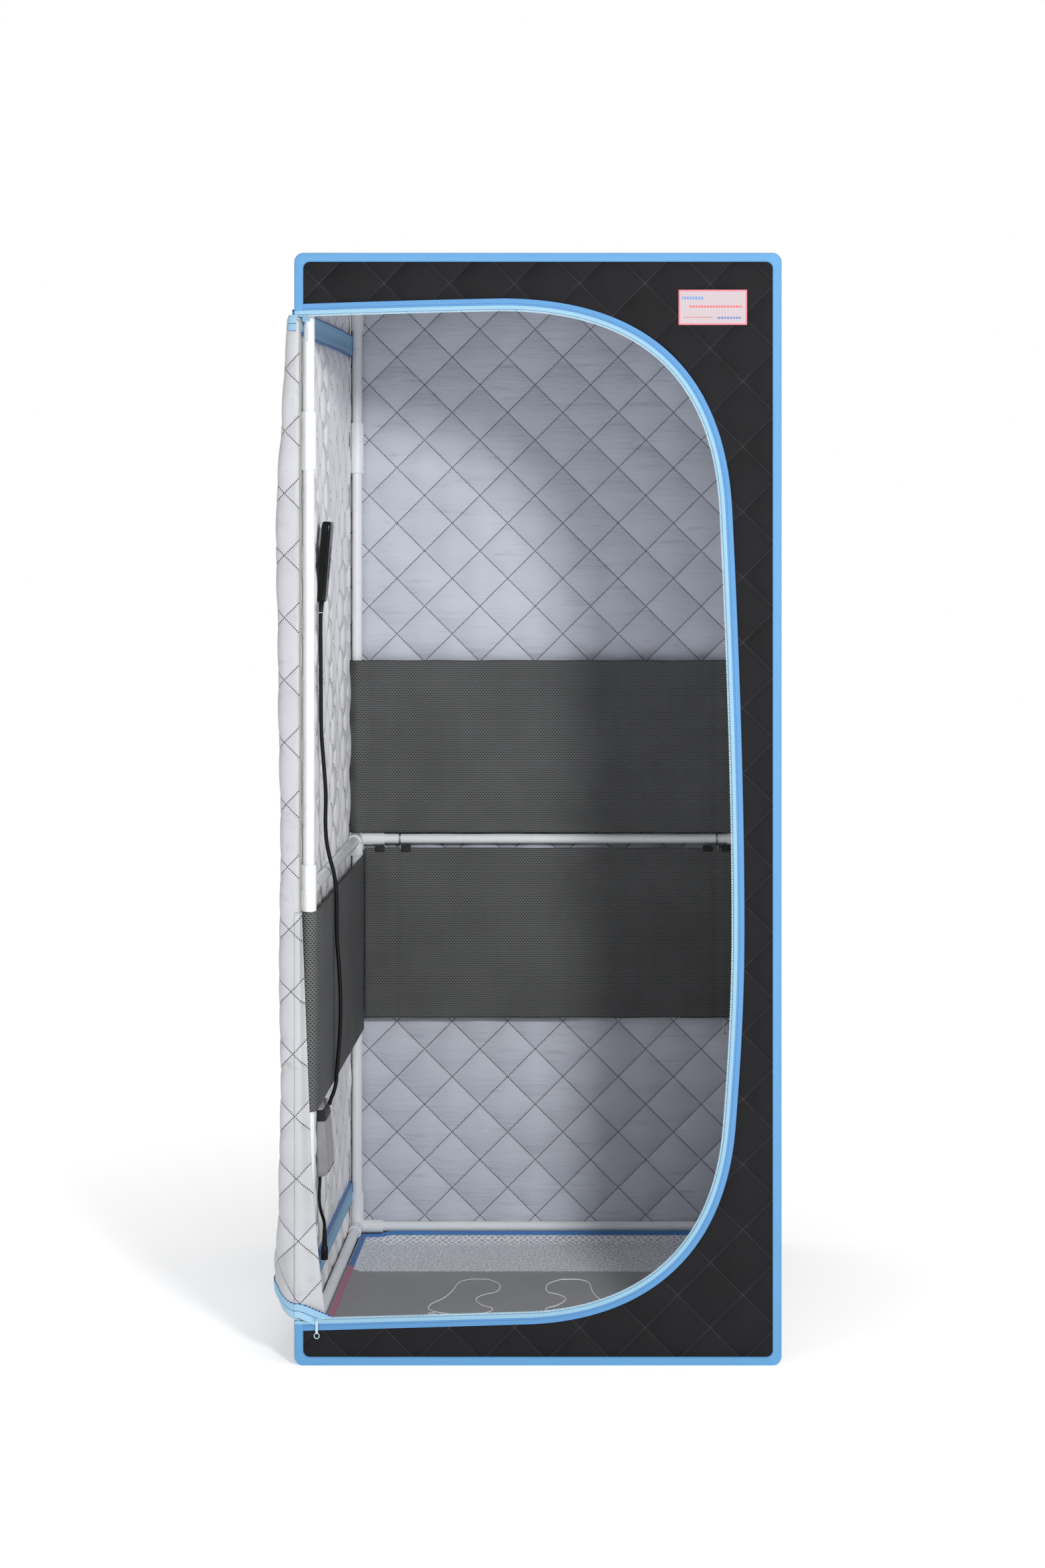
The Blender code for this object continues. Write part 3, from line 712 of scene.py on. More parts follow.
def round_rect(x_low, x_high, z_low, z_high, r, steps=8):
    """Rounded rectangle, clockwise from the left edge's upper end, with outward normals."""
    points, normals = [], []
    for cx, cz, start in ((x_low + r, z_high - r, 180), (x_high - r, z_high - r, 90),
                          (x_high - r, z_low + r, 0), (x_low + r, z_low + r, -90)):
        for k in range(steps + 1):
            a = math.radians(start - 90 * k / steps)
            normals.append((math.cos(a), math.sin(a)))
            points.append((cx + r * math.cos(a), cz + r * math.sin(a)))
    return np.array(points), np.array(normals)


def by_count(points, count):
    """A polyline resampled to a number of points."""
    reached = reach_of(points)
    want = np.linspace(0, reached[-1], count)
    return np.stack([np.interp(want, reached, column) for column in points.T], -1)


def resample(points, spacing):
    """Evenly spaced points along a polyline, as an array."""
    points = np.array(points, float)
    return by_count(points, max(2, round(reach_of(points)[-1] / spacing) + 1))


def tube_curve(name, points, radius, material, resolution=4, closed=False):
    """Round cord, wire or piping along a line of points."""
    curve = bpy.data.curves.new(name, "CURVE")
    curve.dimensions = "3D"
    curve.bevel_depth, curve.bevel_resolution = radius, resolution
    curve.use_fill_caps = not closed
    spline = curve.splines.new("POLY")
    spline.points.add(len(points) - 1)
    for point, place in zip(spline.points, points):
        point.co = (*place, 1)
    spline.use_cyclic_u = closed
    return new_object(name, curve, material)


def shell_of_sections(name, stations, material, count=32, sharp=50):
    """Skin over level sections. Each is (z, centre x, centre y, half x, half y, squareness)."""
    c, s = np.cos(turns(count)), np.sin(turns(count))
    rails = np.zeros((count, len(stations), 3))
    for i, (z, cx, cy, half_x, half_y, power) in enumerate(stations):
        rails[:, i, 0] = cx + half_x * np.sign(c) * np.abs(c) ** (2 / power)
        rails[:, i, 1] = cy + half_y * np.sign(s) * np.abs(s) ** (2 / power)
        rails[:, i, 2] = z
    return loft(name, rails, np.arange(count) / count, material, sharp=sharp)


def rounds(x, y, pairs):
    """Round sections about (x, y), from pairs of height and radius."""
    return [(z, x, y, radius, radius, 2) for z, radius in pairs]


def smooth(route, spacing):
    """Evenly spaced points on a smooth curve through the route's points."""
    p = np.array(route, float)
    p = np.concatenate([p[:1], p, p[-1:]])
    fine = []
    for a, b, c, d in zip(p, p[1:], p[2:], p[3:]):
        for t in np.arange(16) / 16:
            fine.append(b + (c - a) * t / 2 + (2 * a - 5 * b + 4 * c - d) * t * t / 2
                        + (3 * b - a - 3 * c + d) * t ** 3 / 2)
    return resample(fine + [p[-1]], spacing)


def length_of(points):
    return float(np.linalg.norm(np.diff(points, axis=0), axis=1).sum())


def area_of(grid):
    """Area of a grid of points (rows x columns x 2 or 3)."""
    a, b = grid[1:, 1:] - grid[:-1, :-1], grid[1:, :-1] - grid[:-1, 1:]
    if grid.shape[-1] == 2:
        return float(np.abs(a[..., 0] * b[..., 1] - a[..., 1] * b[..., 0]).sum() / 2)
    return float(np.linalg.norm(np.cross(a, b), axis=-1).sum() / 2)


def put(made, slot, *nodes, body="cabin"):
    """Let a piece ride on a body, name its finish and hide the CAD nodes that it stands for."""
    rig.ride(made, body)
    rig.slot(made, slot)
    if nodes:
        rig.replaces(made, *nodes)
    return made


def repaint(names, material, slot):
    """Give CAD nodes whose shape is right their finish."""
    for name in names:
        node = frame["nodes"][name]
        node.data.materials.clear()
        node.data.materials.append(material)
        node.data.shade_smooth()
        node.data.set_sharp_from_angle(angle=math.radians(40))
        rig.slot(node, slot)


# ---------------------------------------------------------------- handset, pouch and cords

CABLE_D = 0.0068
CABLE_ROUTE = [(x, -0.155, z) for x, z in mm(
    (-386.4, 1228.6), (-386.8, 1210.0), (-386.6, 1170.0), (-386.2, 1100.0), (-385.5, 1025.0), (-381.8, 974.0),
    (-377.8, 917.0), (-378.5, 868.0), (-376.5, 835.0), (-371.0, 806.0), (-363.6, 778.0), (-359.5, 745.0),
    (-359.0, 700.0), (-358.2, 660.0), (-355.0, 620.0), (-352.2, 560.0), (-353.0, 506.0), (-356.2, 464.0),
    (-358.5, 438.0), (-360.0, 417.0), (-364.0, 400.0), (-369.0, 388.0), (-371.2, 378.5))]
LEAD_D = 0.0055
LEAD_ROUTE = mm(
    (-386.0, -170.0, 256.7), (-386.2, -170.2, 248.0), (-386.8, -171.2, 236.0),
    (-387.2, -172.2, 223.0), (-386.2, -172.2, 209.0), (-383.8, -170.0, 196.0),
    (-381.2, -166.2, 186.0), (-379.6, -162.8, 177.5), (-379.2, -161.8, 168.6))
HANDSET_AT = (-0.3795, -0.155, 1.317)
HANDSET_LEAN = math.radians(4.5)
HANDSET_OUTLINE = mm(                   # height, half thickness, half width
    (70.0, 5.2, 19.5), (69.2, 6.8, 21.8), (67.2, 7.8, 23.4), (62.0, 8.4, 24.6), (54.0, 8.6, 25.0),
    (30.0, 8.6, 25.0), (2.0, 8.6, 24.2), (-32.0, 8.5, 23.2), (-52.0, 8.4, 22.6), (-62.0, 8.0, 21.8),
    (-67.2, 7.2, 20.2), (-69.2, 6.0, 18.2), (-70.0, 4.6, 16.0))


def make_cords(m):
    """The handset's cable down to the pouch, and the lead from the pouch down to its connector."""
    route = smooth(CABLE_ROUTE, 0.006)
    cable = put(tube_curve("cable_cord", route, CABLE_D / 2, m["cable_rubber"], 5), "cable", "handset_cable")
    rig.cord(cable, exit=CABLE_ROUTE[0], length=length_of(route), diameter=CABLE_D, far_end="object",
            stiffness="medium", lay="hanging")
    low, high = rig.box("connector")
    x, y, half = (low.x + high.x) / 2, (low.y + high.y) / 2, (high.x - low.x) / 2
    pairs = [(0.0, 0.80), (0.0006, 0.93)]   # height above the connector's end, share of its half width
    pairs += [(0.0010 + k * 0.0016, w) for k, w in enumerate((1, 1, 0.93, 1, 0.93, 1, 0.93, 1, 1))]
    pairs += [(0.022, 0.96), (0.024, 0.72)]
    for k in range(9):
        z, w = 0.027 + k * 0.0031, 0.74 - 0.026 * k
        pairs += [(z, w), (z + 0.0015, w * 0.88)]
    pairs.append((high.z - low.z, 0.47))
    stations = rounds(x, y, [(low.z + z, half * w) for z, w in pairs])
    plug = shell_of_sections("lead_connector", stations, m["black_plastic"], 28, 35)
    put(plug, "black_plastic", "connector")
    route = smooth(LEAD_ROUTE, 0.004)
    lead = put(tube_curve("lead_cord", route, LEAD_D / 2, m["cable_rubber"], 5), "cable", "connector_lead")
    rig.cord(lead, exit=LEAD_ROUTE[0], length=length_of(route), diameter=LEAD_D, far_end="connector",
            stiffness="medium", lay="hanging", with_pieces=[plug])


def make_handset(m):
    """Handset on the left wall: shell, parting line, strain relief, raised panel and two buttons."""
    lean = Matrix.Translation(HANDSET_AT) @ Matrix.Rotation(HANDSET_LEAN, 4, "Y")
    upright = Matrix.Rotation(math.pi / 2, 4, "Y")
    black = m["black_plastic"]
    stations = [(z, 0, 0, half_x, half_y, 6) for z, half_x, half_y in reversed(HANDSET_OUTLINE)]
    body = shell_of_sections("handset_shell", stations, m["handset_plastic"], 48, 60)
    pairs = []
    for k in range(6):
        z, w = -0.0702 - 0.0030 * k, 0.0046 - 0.00016 * k
        pairs += [(z, w), (z - 0.0017, w), (z - 0.0019, w * 0.84)]
    relief = shell_of_sections("handset_strain_relief", rounds(0, 0, pairs[::-1]), black, 24, 40)
    seam = [(0, y, z) for z, _, y in HANDSET_OUTLINE] + [(0, -y, z) for z, _, y in reversed(HANDSET_OUTLINE)]
    parting = tube_curve("handset_parting_line", seam, 0.00045, black, 2, closed=True)
    stations = [(z, 0, -0.001, tall, wide, 3) for z, tall, wide in
                mm((7.2, 29.0, 9.5), (8.1, 29.0, 9.5), (8.7, 28.4, 8.9))]
    bezel = shell_of_sections("handset_bezel", stations, black, 40, 40)
    bezel.data.transform(upright)
    for made, nodes in ((body, ["handset_body"]), (relief, []), (parting, []), (bezel, [])):
        made.data.transform(lean)
        put(made, "black_plastic", *nodes)
    stations = rounds(0, 0, mm((7.0, 4.8), (9.0, 4.8), (9.5, 4.5), (9.65, 3.6), (9.4, 0.8)))
    for number, z in ((1, 0.012), (2, -0.016)):
        node = f"handset_button_{number}"
        button = shell_of_sections(f"button_cap_{number}", stations, m["button_rubber"], 32, 30)
        button.data.transform(lean @ Matrix.Translation((0, 0, z)) @ upright)
        put(button, "button", node, body=node)


def make_pouch(m):
    """Felt pouch on the left wall, with a strap sewn round its mouth."""
    low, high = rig.box("pouch")
    y, half_y = (low.y + high.y) / 2, (high.y - low.y) / 2
    thick, tall, wall = (high.x - low.x) / 2, high.z - low.z, low.x + 0.0002
    rows = ((0.000, 0.30, 0.80), (0.012, 0.62, 0.91), (0.045, 0.88, 0.97), (0.12, 1.0, 1.0), (0.25, 1.0, 1.0),
            (0.40, 0.95, 0.995), (0.55, 0.88, 0.985), (0.70, 0.80, 0.97), (0.84, 0.68, 0.955),
            (0.94, 0.56, 0.945), (0.985, 0.50, 0.94), (1.0, 0.40, 0.925))
    stations = []
    for share, deep, wide in rows:
        half_x, sway = thick * deep, 0.0012 * math.sin(share * 9)
        stations.append((low.z + share * tall, wall + half_x, y + sway, half_x, half_y * wide, 6))
    pouch = shell_of_sections("felt_pouch", stations, m["pouch_felt"], 56, 60)
    put(pouch, "pouch_cloth", "pouch")
    stations = []
    for share, grow in ((0.80, 0.0), (0.805, 0.0011), (0.955, 0.0011), (0.96, 0.0)):
        half_x = thick * (0.72 - (share - 0.8)) + grow
        stations.append((low.z + share * tall, wall + half_x - grow, y, half_x, half_y * 0.955 + grow, 6))
    put(shell_of_sections("pouch_strap", stations, m["webbing"], 56, 60), "pouch_cloth")
    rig.padded(pouch, fill=0.25)
    seam = [(high.x - 0.0005 - 0.0075 * (abs(t) > 0.96), y + t * half_y * 0.90, low.z + 0.010)
            for t in np.linspace(-1, 1, 30)]
    put(tube_curve("pouch_seam", seam, 0.0006, m["webbing"], 2), "pouch_cloth")


# ---------------------------------------------------------------- cover

ZIP_TOP = (-0.400, 1.727)
ZIP_BOTTOM = (-0.400, 0.0757)
ZIP_KNOTS = (
    (ZIP_TOP, ZIP_TOP, (-0.290, 1.7310)),
    ((-0.060, 1.7365), (-0.170, 1.7345), (0.155, 1.7365)),
    ((0.3005, 1.405), (0.289, 1.640), (0.3105, 1.200)),
    ((0.3205, 0.720), (0.3205, 0.950), (0.3205, 0.600)),
    ((0.306, 0.393), (0.3145, 0.503), (0.2895, 0.180)),
    ((-0.010, 0.087), (0.155, 0.095), (-0.140, 0.0830)),
    (ZIP_BOTTOM, (-0.270, 0.0795), ZIP_BOTTOM),
)


def zip_path(spacing=0.006, offset=0.0):
    """Points (x, z) along the zip, moved outwards by offset, and their outward normals."""
    line = [ZIP_TOP]
    for (knot, _, leave), (next_knot, arrive, _) in zip(ZIP_KNOTS, ZIP_KNOTS[1:]):
        stretch = interpolate_bezier(Vector(knot), Vector(leave), Vector(arrive), Vector(next_knot), 33)
        line += [tuple(point[:2]) for point in stretch[1:]]
    line = resample(line, spacing)
    run = np.gradient(line, axis=0)
    run /= np.linalg.norm(run, axis=1, keepdims=True)
    outward = stack(-run[:, 1], run[:, 0])
    return line + outward * offset, outward


def in_plane(pairs, y):
    """Points or directions (x, z) in a plane parallel to the front."""
    return stack(pairs[:, 0], np.full(len(pairs), y), pairs[:, 1])


def make_front(m):
    """Quilted surround between the zip and the front's edges."""
    line, outward = zip_path(0.0055, 0.018)
    rim = HALF - 0.003
    with np.errstate(divide="ignore"):
        to_side = np.where(outward[:, 0] > 1e-6, (rim - line[:, 0]) / outward[:, 0], 9.0)
        to_end = np.where(outward[:, 1] > 0, HEIGHT - 0.003 - line[:, 1], 0.003 - line[:, 1]) / outward[:, 1]
    to_end = np.where(np.abs(outward[:, 1]) > 1e-6, to_end, 9.0)
    far = np.minimum(to_side, to_end)
    share = np.linspace(0, 1, 34)[:, None]
    x = np.clip(line[:, 0] + outward[:, 0] * far * share, -rim, rim)
    z = line[:, 1] + outward[:, 1] * far * share
    fade = unit(np.minimum(share, 1 - share) * far / RIM_FADE)
    scale = DIAMOND / 0.1075
    u, v = (x + 0.361) * scale, (z - 1.781) * scale
    wave = ripple(x, z, 3, 13.0, 0.0014) * fade
    front = stack(x, FACE_Y + 0.0016 - wave - puff(u, v, 0.0028) * fade, z)
    back = stack(x, FACE_Y + WALL - 0.0012 - wave + puff(u, v, 0.0030) * fade, z)
    cover = sheet_mesh("front_quilt", front, back, stack(u, v), [m["black_quilt"], m["lining"]])
    put(cover, "cover_quilt", "cover_front")
    pieces = [make_trim(m), *make_zip(m), make_label(m)]
    long = length_of(zip_path()[0])         # cut as a C: its length along the zip and its mean width
    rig.sheet(cover, flat=(area_of(stack(x, z)) / long, long), held="stretched",
             rests_on=["top_rail_front", "bottom_rail_front"], with_pieces=pieces)


def make_trim(m):
    """Blue binding over the front's outer edge, from the zip's upper end round to its lower end."""
    trim = TRIM * 1000
    profile = mm((trim, -0.4), (trim - 0.9, -2.2), (1.0, -2.5), (-1.0, -1.2), (-1.5, 0.8), (-1.5, 11.5),
                 (-0.6, 12.5), (0.6, 11.5), (0.6, 1.2), (trim, 0.8))
    shares = (0.0, 0.05, 0.48, 0.55, 0.60, 0.95, 1.0, 0.95, 0.55, 0.0)
    rails = []
    for inset, y in profile:
        corner = round_rect(-HALF + inset, HALF - inset, inset, HEIGHT - inset, EDGE_R - 0.3 * inset)[0]
        ends = [(-HALF + inset, ZIP_TOP[1] + 0.002)], [(-HALF + inset, ZIP_BOTTOM[1] - 0.002)]
        rails.append(in_plane(np.concatenate([ends[0], corner, ends[1]]), FACE_Y + y))
    return put(loft("front_binding", np.array(rails), shares, m["trim"]), "binding")


def make_teeth(name, line, outward, y, material):
    """Row of small teeth along a zip."""
    along = stack(outward[:, 1], -outward[:, 0])
    points, faces = [], []
    for place, n, t in zip(line, outward, along):
        start = len(points)
        for dy in (-0.0012, 0.0012):
            for dt, dn in mm((-0.8, -1.4), (0.8, -1.4), (0.8, 1.4), (-0.8, 1.4)):
                p = place + t * dt + n * dn
                points.append((p[0], y + dy, p[1]))
        faces += [tuple(start + k for k in quad) for quad in
                  ((0, 1, 2, 3), (7, 6, 5, 4), (0, 4, 5, 1), (1, 5, 6, 2), (2, 6, 7, 3), (3, 7, 4, 0))]
    mesh = new_mesh(name, points, faces)
    face_outwards(mesh)
    return new_object(name, mesh, material)


def make_zip(m):
    """Fixed half of the zip: teeth, light tape and blue tape round the opening."""
    line, outward = zip_path()
    path, normals = in_plane(line, FACE_Y), in_plane(outward, 0)
    blue = mm((20.0, -0.2), (19.6, 1.4), (14.0, 1.9), (8.6, 1.6), (8.0, 0.4), (8.0, -1.8), (20.0, -1.8))
    light = mm((8.7, 1.0), (8.3, 2.4), (5.5, 2.9), (2.5, 2.4), (1.9, 1.2), (1.9, -1.6), (8.7, -1.6))
    made = [ribbon("zip_tape_blue", path, normals, blue, m["zip_blue"]),
            ribbon("zip_tape_light", path, normals, light, m["zip_light"]),
            make_teeth("zip_teeth", *zip_path(ZIP_PITCH), FACE_Y - 0.0002, m["zip_teeth"])]
    return [put(piece, "zip_tape") for piece in made]


def make_tab(m, label, half, radius, stretch):
    """Slim pull tab: an eye round the slider's bar, a flat stem and a loop at its end."""
    name, paint = f"pull_tab_{label}", m["tab_enamel"]
    node = frame["nodes"][name]
    points = np.array([node.matrix_world @ vertex.co for vertex in node.data.vertices])
    low, high = points.min(0), points.max(0)
    x, y_stem = (low[0] + high[0]) / 2, points[points[:, 2] < low[2] + 0.006][:, 1].mean()
    y_eye, z_eye = points[points[:, 2] > high[2] - 0.0040][:, 1], high[2] - 0.0022
    y_eye = (y_eye.min() + y_eye.max()) / 2
    wire = 0.0008
    top = low[2] + wire + 2 * (radius + stretch)
    widths = ((top - 0.0012, half), (top + 0.001, half), (z_eye - 0.002, half), (z_eye - 0.0006, half * 0.8),
              (z_eye, half * 0.5))
    stations = [(z, x, y_stem, w, 0.0006, 5) for z, w in widths]
    put(shell_of_sections(f"tab_stem_{label}", stations, paint, 24, 50), "zip_metal", name, body=name)
    middle = top - wire - radius - stretch
    loop = [(x + radius * c, y_stem, middle + radius * s + math.copysign(stretch, s))
            for c, s in ((math.cos(a), math.sin(a)) for a in turns(40, 0.01))]
    put(tube_curve(f"tab_loop_{label}", loop, wire, paint, 4, closed=True), "zip_metal", body=name)
    for number, side in enumerate((-0.0006, 0.0006), 1):
        eye = [(x + side, y_eye + 0.0017 * math.cos(a), z_eye + 0.0017 * math.sin(a)) for a in turns(24)]
        made = tube_curve(f"tab_eye_{label}_{number}", eye, 0.0005, paint, 3, closed=True)
        put(made, "zip_metal", body=name)


def make_label(m):
    """White sewn label with a pink border and plain bars."""
    left, low, wide, tall = 0.2315, 1.7125, 0.113, 0.058
    x, z = np.meshgrid(np.linspace(left, left + wide, 40), np.linspace(low, low + tall, 21))
    front = stack(x, FACE_Y - 0.0030 - ripple(x, z, 8, 60.0, 0.0005), z)
    uv = stack((x - left) / wide, (z - low) / tall)
    return put(sheet_mesh("sewn_label", front, front + (0, 0.0009, 0), uv, [m["label_cloth"]] * 2), "label")


def lid_plane(base, up):
    """Roof or floor: flat, with its two long edges turned in round the cabin's corners."""
    straight = HALF - EDGE_R

    def plane(u, v, w):
        turn = np.clip((np.abs(u) - straight) / EDGE_R, 0, math.pi / 2)
        x = np.sign(u) * (np.minimum(np.abs(u), straight) + (EDGE_R + w) * np.sin(turn))
        z = base + up * (np.where(turn > 0, (EDGE_R + w) * np.cos(turn) - EDGE_R, w))
        return stack(x, v, z)
    return plane


def make_walls(m):
    """Quilted side walls, back wall, roof and floor."""
    low, high = EDGE_R + 0.0003, HEIGHT - EDGE_R - 0.0003
    deep = (-INNER + 0.0003, HALF - 0.0003)
    cloth = [m["black_quilt"], m["lining"]]
    rim = HALF - EDGE_R + EDGE_R * math.pi / 2
    right = quilted_wall("right_wall", lambda u, v, w: stack(HALF + w, u, v), deep, (low, high), 1, cloth, 11)
    left = quilted_wall("left_wall", lambda u, v, w: stack(-HALF - w, u, v), deep, (low, high), -1,
                        [m["black_quilt"], m["side_lining"]], 12, folds=0.0016, quilt=0.0052,
                        bands=[z for _, z, _ in SIDE_BANDS])
    u0, v0 = 0.358, 1.750                   # where the back wall's quilting starts
    back = quilted_wall("back_wall", lambda u, v, w: stack(u - u0, HALF - 0.0006 + w, v + v0),
                        (u0 + 0.0003 - INNER, u0 - 0.0003 + INNER), (0.006 - v0, HEIGHT - 0.006 - v0),
                        -1, cloth, 13, quilt=0.0060)
    roof = quilted_wall("roof_quilt", lid_plane(HEIGHT, 1), (-rim, rim), deep, 1, cloth, 14)
    floor = quilted_wall("floor_quilt", lid_plane(0.0, -1), (-rim, rim), deep, -1, cloth, 15, flat=True)
    tall, wide, lid = high - low, deep[1] - deep[0], 2 * rim
    for side, wall in (("left", left), ("right", right)):
        put(wall, "cover_quilt", f"cover_{side}")
        rests = [f"{level}_rail_{side}" for level in ("bottom", "mid", "top")]
        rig.sheet(wall, flat=(wide, tall), held="stretched", rests_on=rests,
                 with_pieces=make_side_bands(m) if side == "left" else [])
    put(back, "cover_quilt", "cover_back")
    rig.sheet(back, flat=(2 * INNER, HEIGHT - 0.012), held="stretched",
             rests_on=["bottom_rail_back", "top_rail_back"], with_pieces=[make_back_piping(m)])
    put(roof, "cover_quilt", "cover_roof")
    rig.sheet(roof, flat=(wide, lid), held="stretched", rests_on=["top_rail_left", "top_rail_right"])
    put(floor, "cover_quilt", "cover_floor")
    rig.sheet(floor, flat=(wide, lid), held="laid")


def make_back_piping(m):
    corners = round_rect(-HALF + 0.002, HALF - 0.002, 0.002, HEIGHT - 0.002, EDGE_R)[0]
    path = in_plane(corners, HALF - 0.0028)
    return put(tube_curve("back_piping", path, 0.0030, m["piping"], 4, closed=True), "binding")


SIDE_BANDS = (("upper", 1.7175, 0.0205), ("lower", 0.102, 0.018))     # label, height, half width


def make_side_bands(m):
    """Zip bands across the left wall near its top and bottom, on both of its faces."""
    bands = []
    y = np.linspace(-0.392, 0.392, 80)
    drift = 0.0008 * np.sin(y * 9) + 0.0004 * np.sin(y * 31 + 1)
    for label, z, half in SIDE_BANDS:
        rising = [(half, 0.0046), (half - 0.0008, 0.0058), (half * 0.34, 0.0060), (half * 0.28, 0.0052)]
        falling = [(-out, proud) for out, proud in rising[::-1]]
        profile = rising + falling + [(-half, -0.0015), (half, -0.0015)]
        for face, x, side in (("inside", -INNER, (1, 0, 0)), ("outside", -HALF, (-1, 0, 0))):
            path = stack(np.full(80, x), y, z + drift)
            name = f"side_zip_band_{label}_{face}"
            made = ribbon(name, path, [(0, 0, 1)] * 80, profile, m["zip_band"], side)
            bands.append(put(made, "zip_tape"))
    return bands


# ---------------------------------------------------------------- door

DOOR_START = -0.3922                    # closed door: X of its hinged edge
DOOR_Y = -0.3975                        # closed door: middle of the cloth
FOLD_X, FOLD_Y = -0.4285, -0.4045       # folded door: X of its flat part, Y of its front fold
CORNER_X = 0.20                         # the door's upper and lower edges end here
DOOR_SCALE = 1.034                      # its quilting is this much closer than the walls'
FOLD_LINE = mm(                         # folded door, by height: X of its front fold, depth of the bend
    (40, -442.5, 110), (100, -442.0, 100), (140, -440.0, 80), (190, -431.5, 40), (250, -425.5, 18),
    (400, -423.5, 12), (900, -423.5, 12), (1150, -426.0, 12), (1400, -429.0, 12), (1550, -421.5, 12),
    (1640, -415.5, 14), (1700, -411.5, 16), (1780, -410.0, 18))


def door_table():
    """Plan of the folded door: X and Y by height and by distance from the hinged edge."""
    knots = smooth([(z, x * 10, d * 10) for z, x, d in FOLD_LINE], 0.01)
    heights = np.linspace(0.04, 1.78, 175)
    reach = np.linspace(0, 0.76, 305)
    xs, ys = [], []
    phi = np.linspace(0, math.pi / 2, 30)
    run = np.linspace(0.004, 0.76, 200)
    for z in heights:
        fold_x, depth = (np.interp(z, knots[:, 0], knots[:, k]) / 10 for k in (1, 2))
        bend_x = DOOR_START - (DOOR_START - fold_x) * np.sin(phi)
        bend_y = FOLD_Y + depth * (1 - np.cos(phi))
        tail_x = FOLD_X + (fold_x - FOLD_X) * np.exp(-run / 0.11)
        line = np.concatenate([stack(bend_x, bend_y), stack(tail_x, FOLD_Y + depth + run)])
        for values, column in zip((xs, ys), line.T):
            values.append(np.interp(reach, reach_of(line), column))
    return heights, reach, np.array(xs), np.array(ys)


DOOR_TABLE = door_table()


def look_up(grid, z, s):
    """Bilinear reading of a table over height and reach."""
    heights, reach = DOOR_TABLE[:2]
    i = np.clip((z - heights[0]) / (heights[1] - heights[0]), 0, len(heights) - 1.001)
    j = np.clip((s - reach[0]) / (reach[1] - reach[0]), 0, len(reach) - 1.001)
    a, b = i.astype(int), j.astype(int)
    fi, fj = i - a, j - b
    return ((grid[a, b] * (1 - fj) + grid[a, b + 1] * fj) * (1 - fi)
            + (grid[a + 1, b] * (1 - fj) + grid[a + 1, b + 1] * fj) * fi)


def folded_back(points):
    """Move points of the closed door (..., 3) to where they are when it is folded back."""
    s, w, z = points[..., 0] - DOOR_START, points[..., 1] - DOOR_Y, points[..., 2]
    xs, ys = DOOR_TABLE[2:]
    x, y = look_up(xs, z, s), look_up(ys, z, s)
    tx, ty = look_up(xs, z, s + 0.002) - x, look_up(ys, z, s + 0.002) - y
    size = np.hypot(tx, ty) + 1e-12
    lift = 0.024 * np.exp(-((z - 0.075) / 0.11) ** 2) * unit(s / 0.055) ** 1.5
    lift = lift * unit((0.30 - s) / 0.20)
    return stack(x - ty / size * w, y + tx / size * w, z + lift)


def fold_object(made, slot, *nodes):
    """Bend a piece of the closed door to its folded place and let it follow both of the door's folds."""
    count = len(made.data.vertices)
    points = np.zeros(count * 3)
    made.data.vertices.foreach_get("co", points)
    made.data.vertices.foreach_set("co", folded_back(points.reshape(-1, 3)).ravel())
    made.data.update()
    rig.slot(made, slot)
    if nodes:
        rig.replaces(made, *nodes)
    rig.blend(made, "door_fold", "door_leaf", start=(-0.418, -0.404, 0.9), end=(-0.428, -0.392, 0.9))
    return made


def door_edge(spacing, offset):
    """The closed door's D-shaped edge, from its hinged side's upper end round to the lower end."""
    line, outward = zip_path(spacing, offset)
    kept = line[:, 0] > DOOR_START
    return line[kept], outward[kept]


def coons(left, right, low, high):
    """Grid of (x, z) points between four edge curves."""
    v, u = np.meshgrid(np.linspace(0, 1, len(left)), np.linspace(0, 1, len(low)), indexing="ij")
    u, v = u[..., None], v[..., None]
    across = (1 - u) * left[:, None] + u * right[:, None]
    up = (1 - v) * low[None] + v * high[None]
    corners = (1 - u) * (1 - v) * low[0] + u * (1 - v) * low[-1] + (1 - u) * v * high[0] + u * v * high[-1]
    return across + up - corners


def quilt_place(x, z):
    """Quilting coordinates of the closed door's cloth, which hangs a little askew."""
    return (x + 0.4185 + 0.0292 * unit(1.0 - z)) * DOOR_SCALE, (z - 0.2566) * DOOR_SCALE


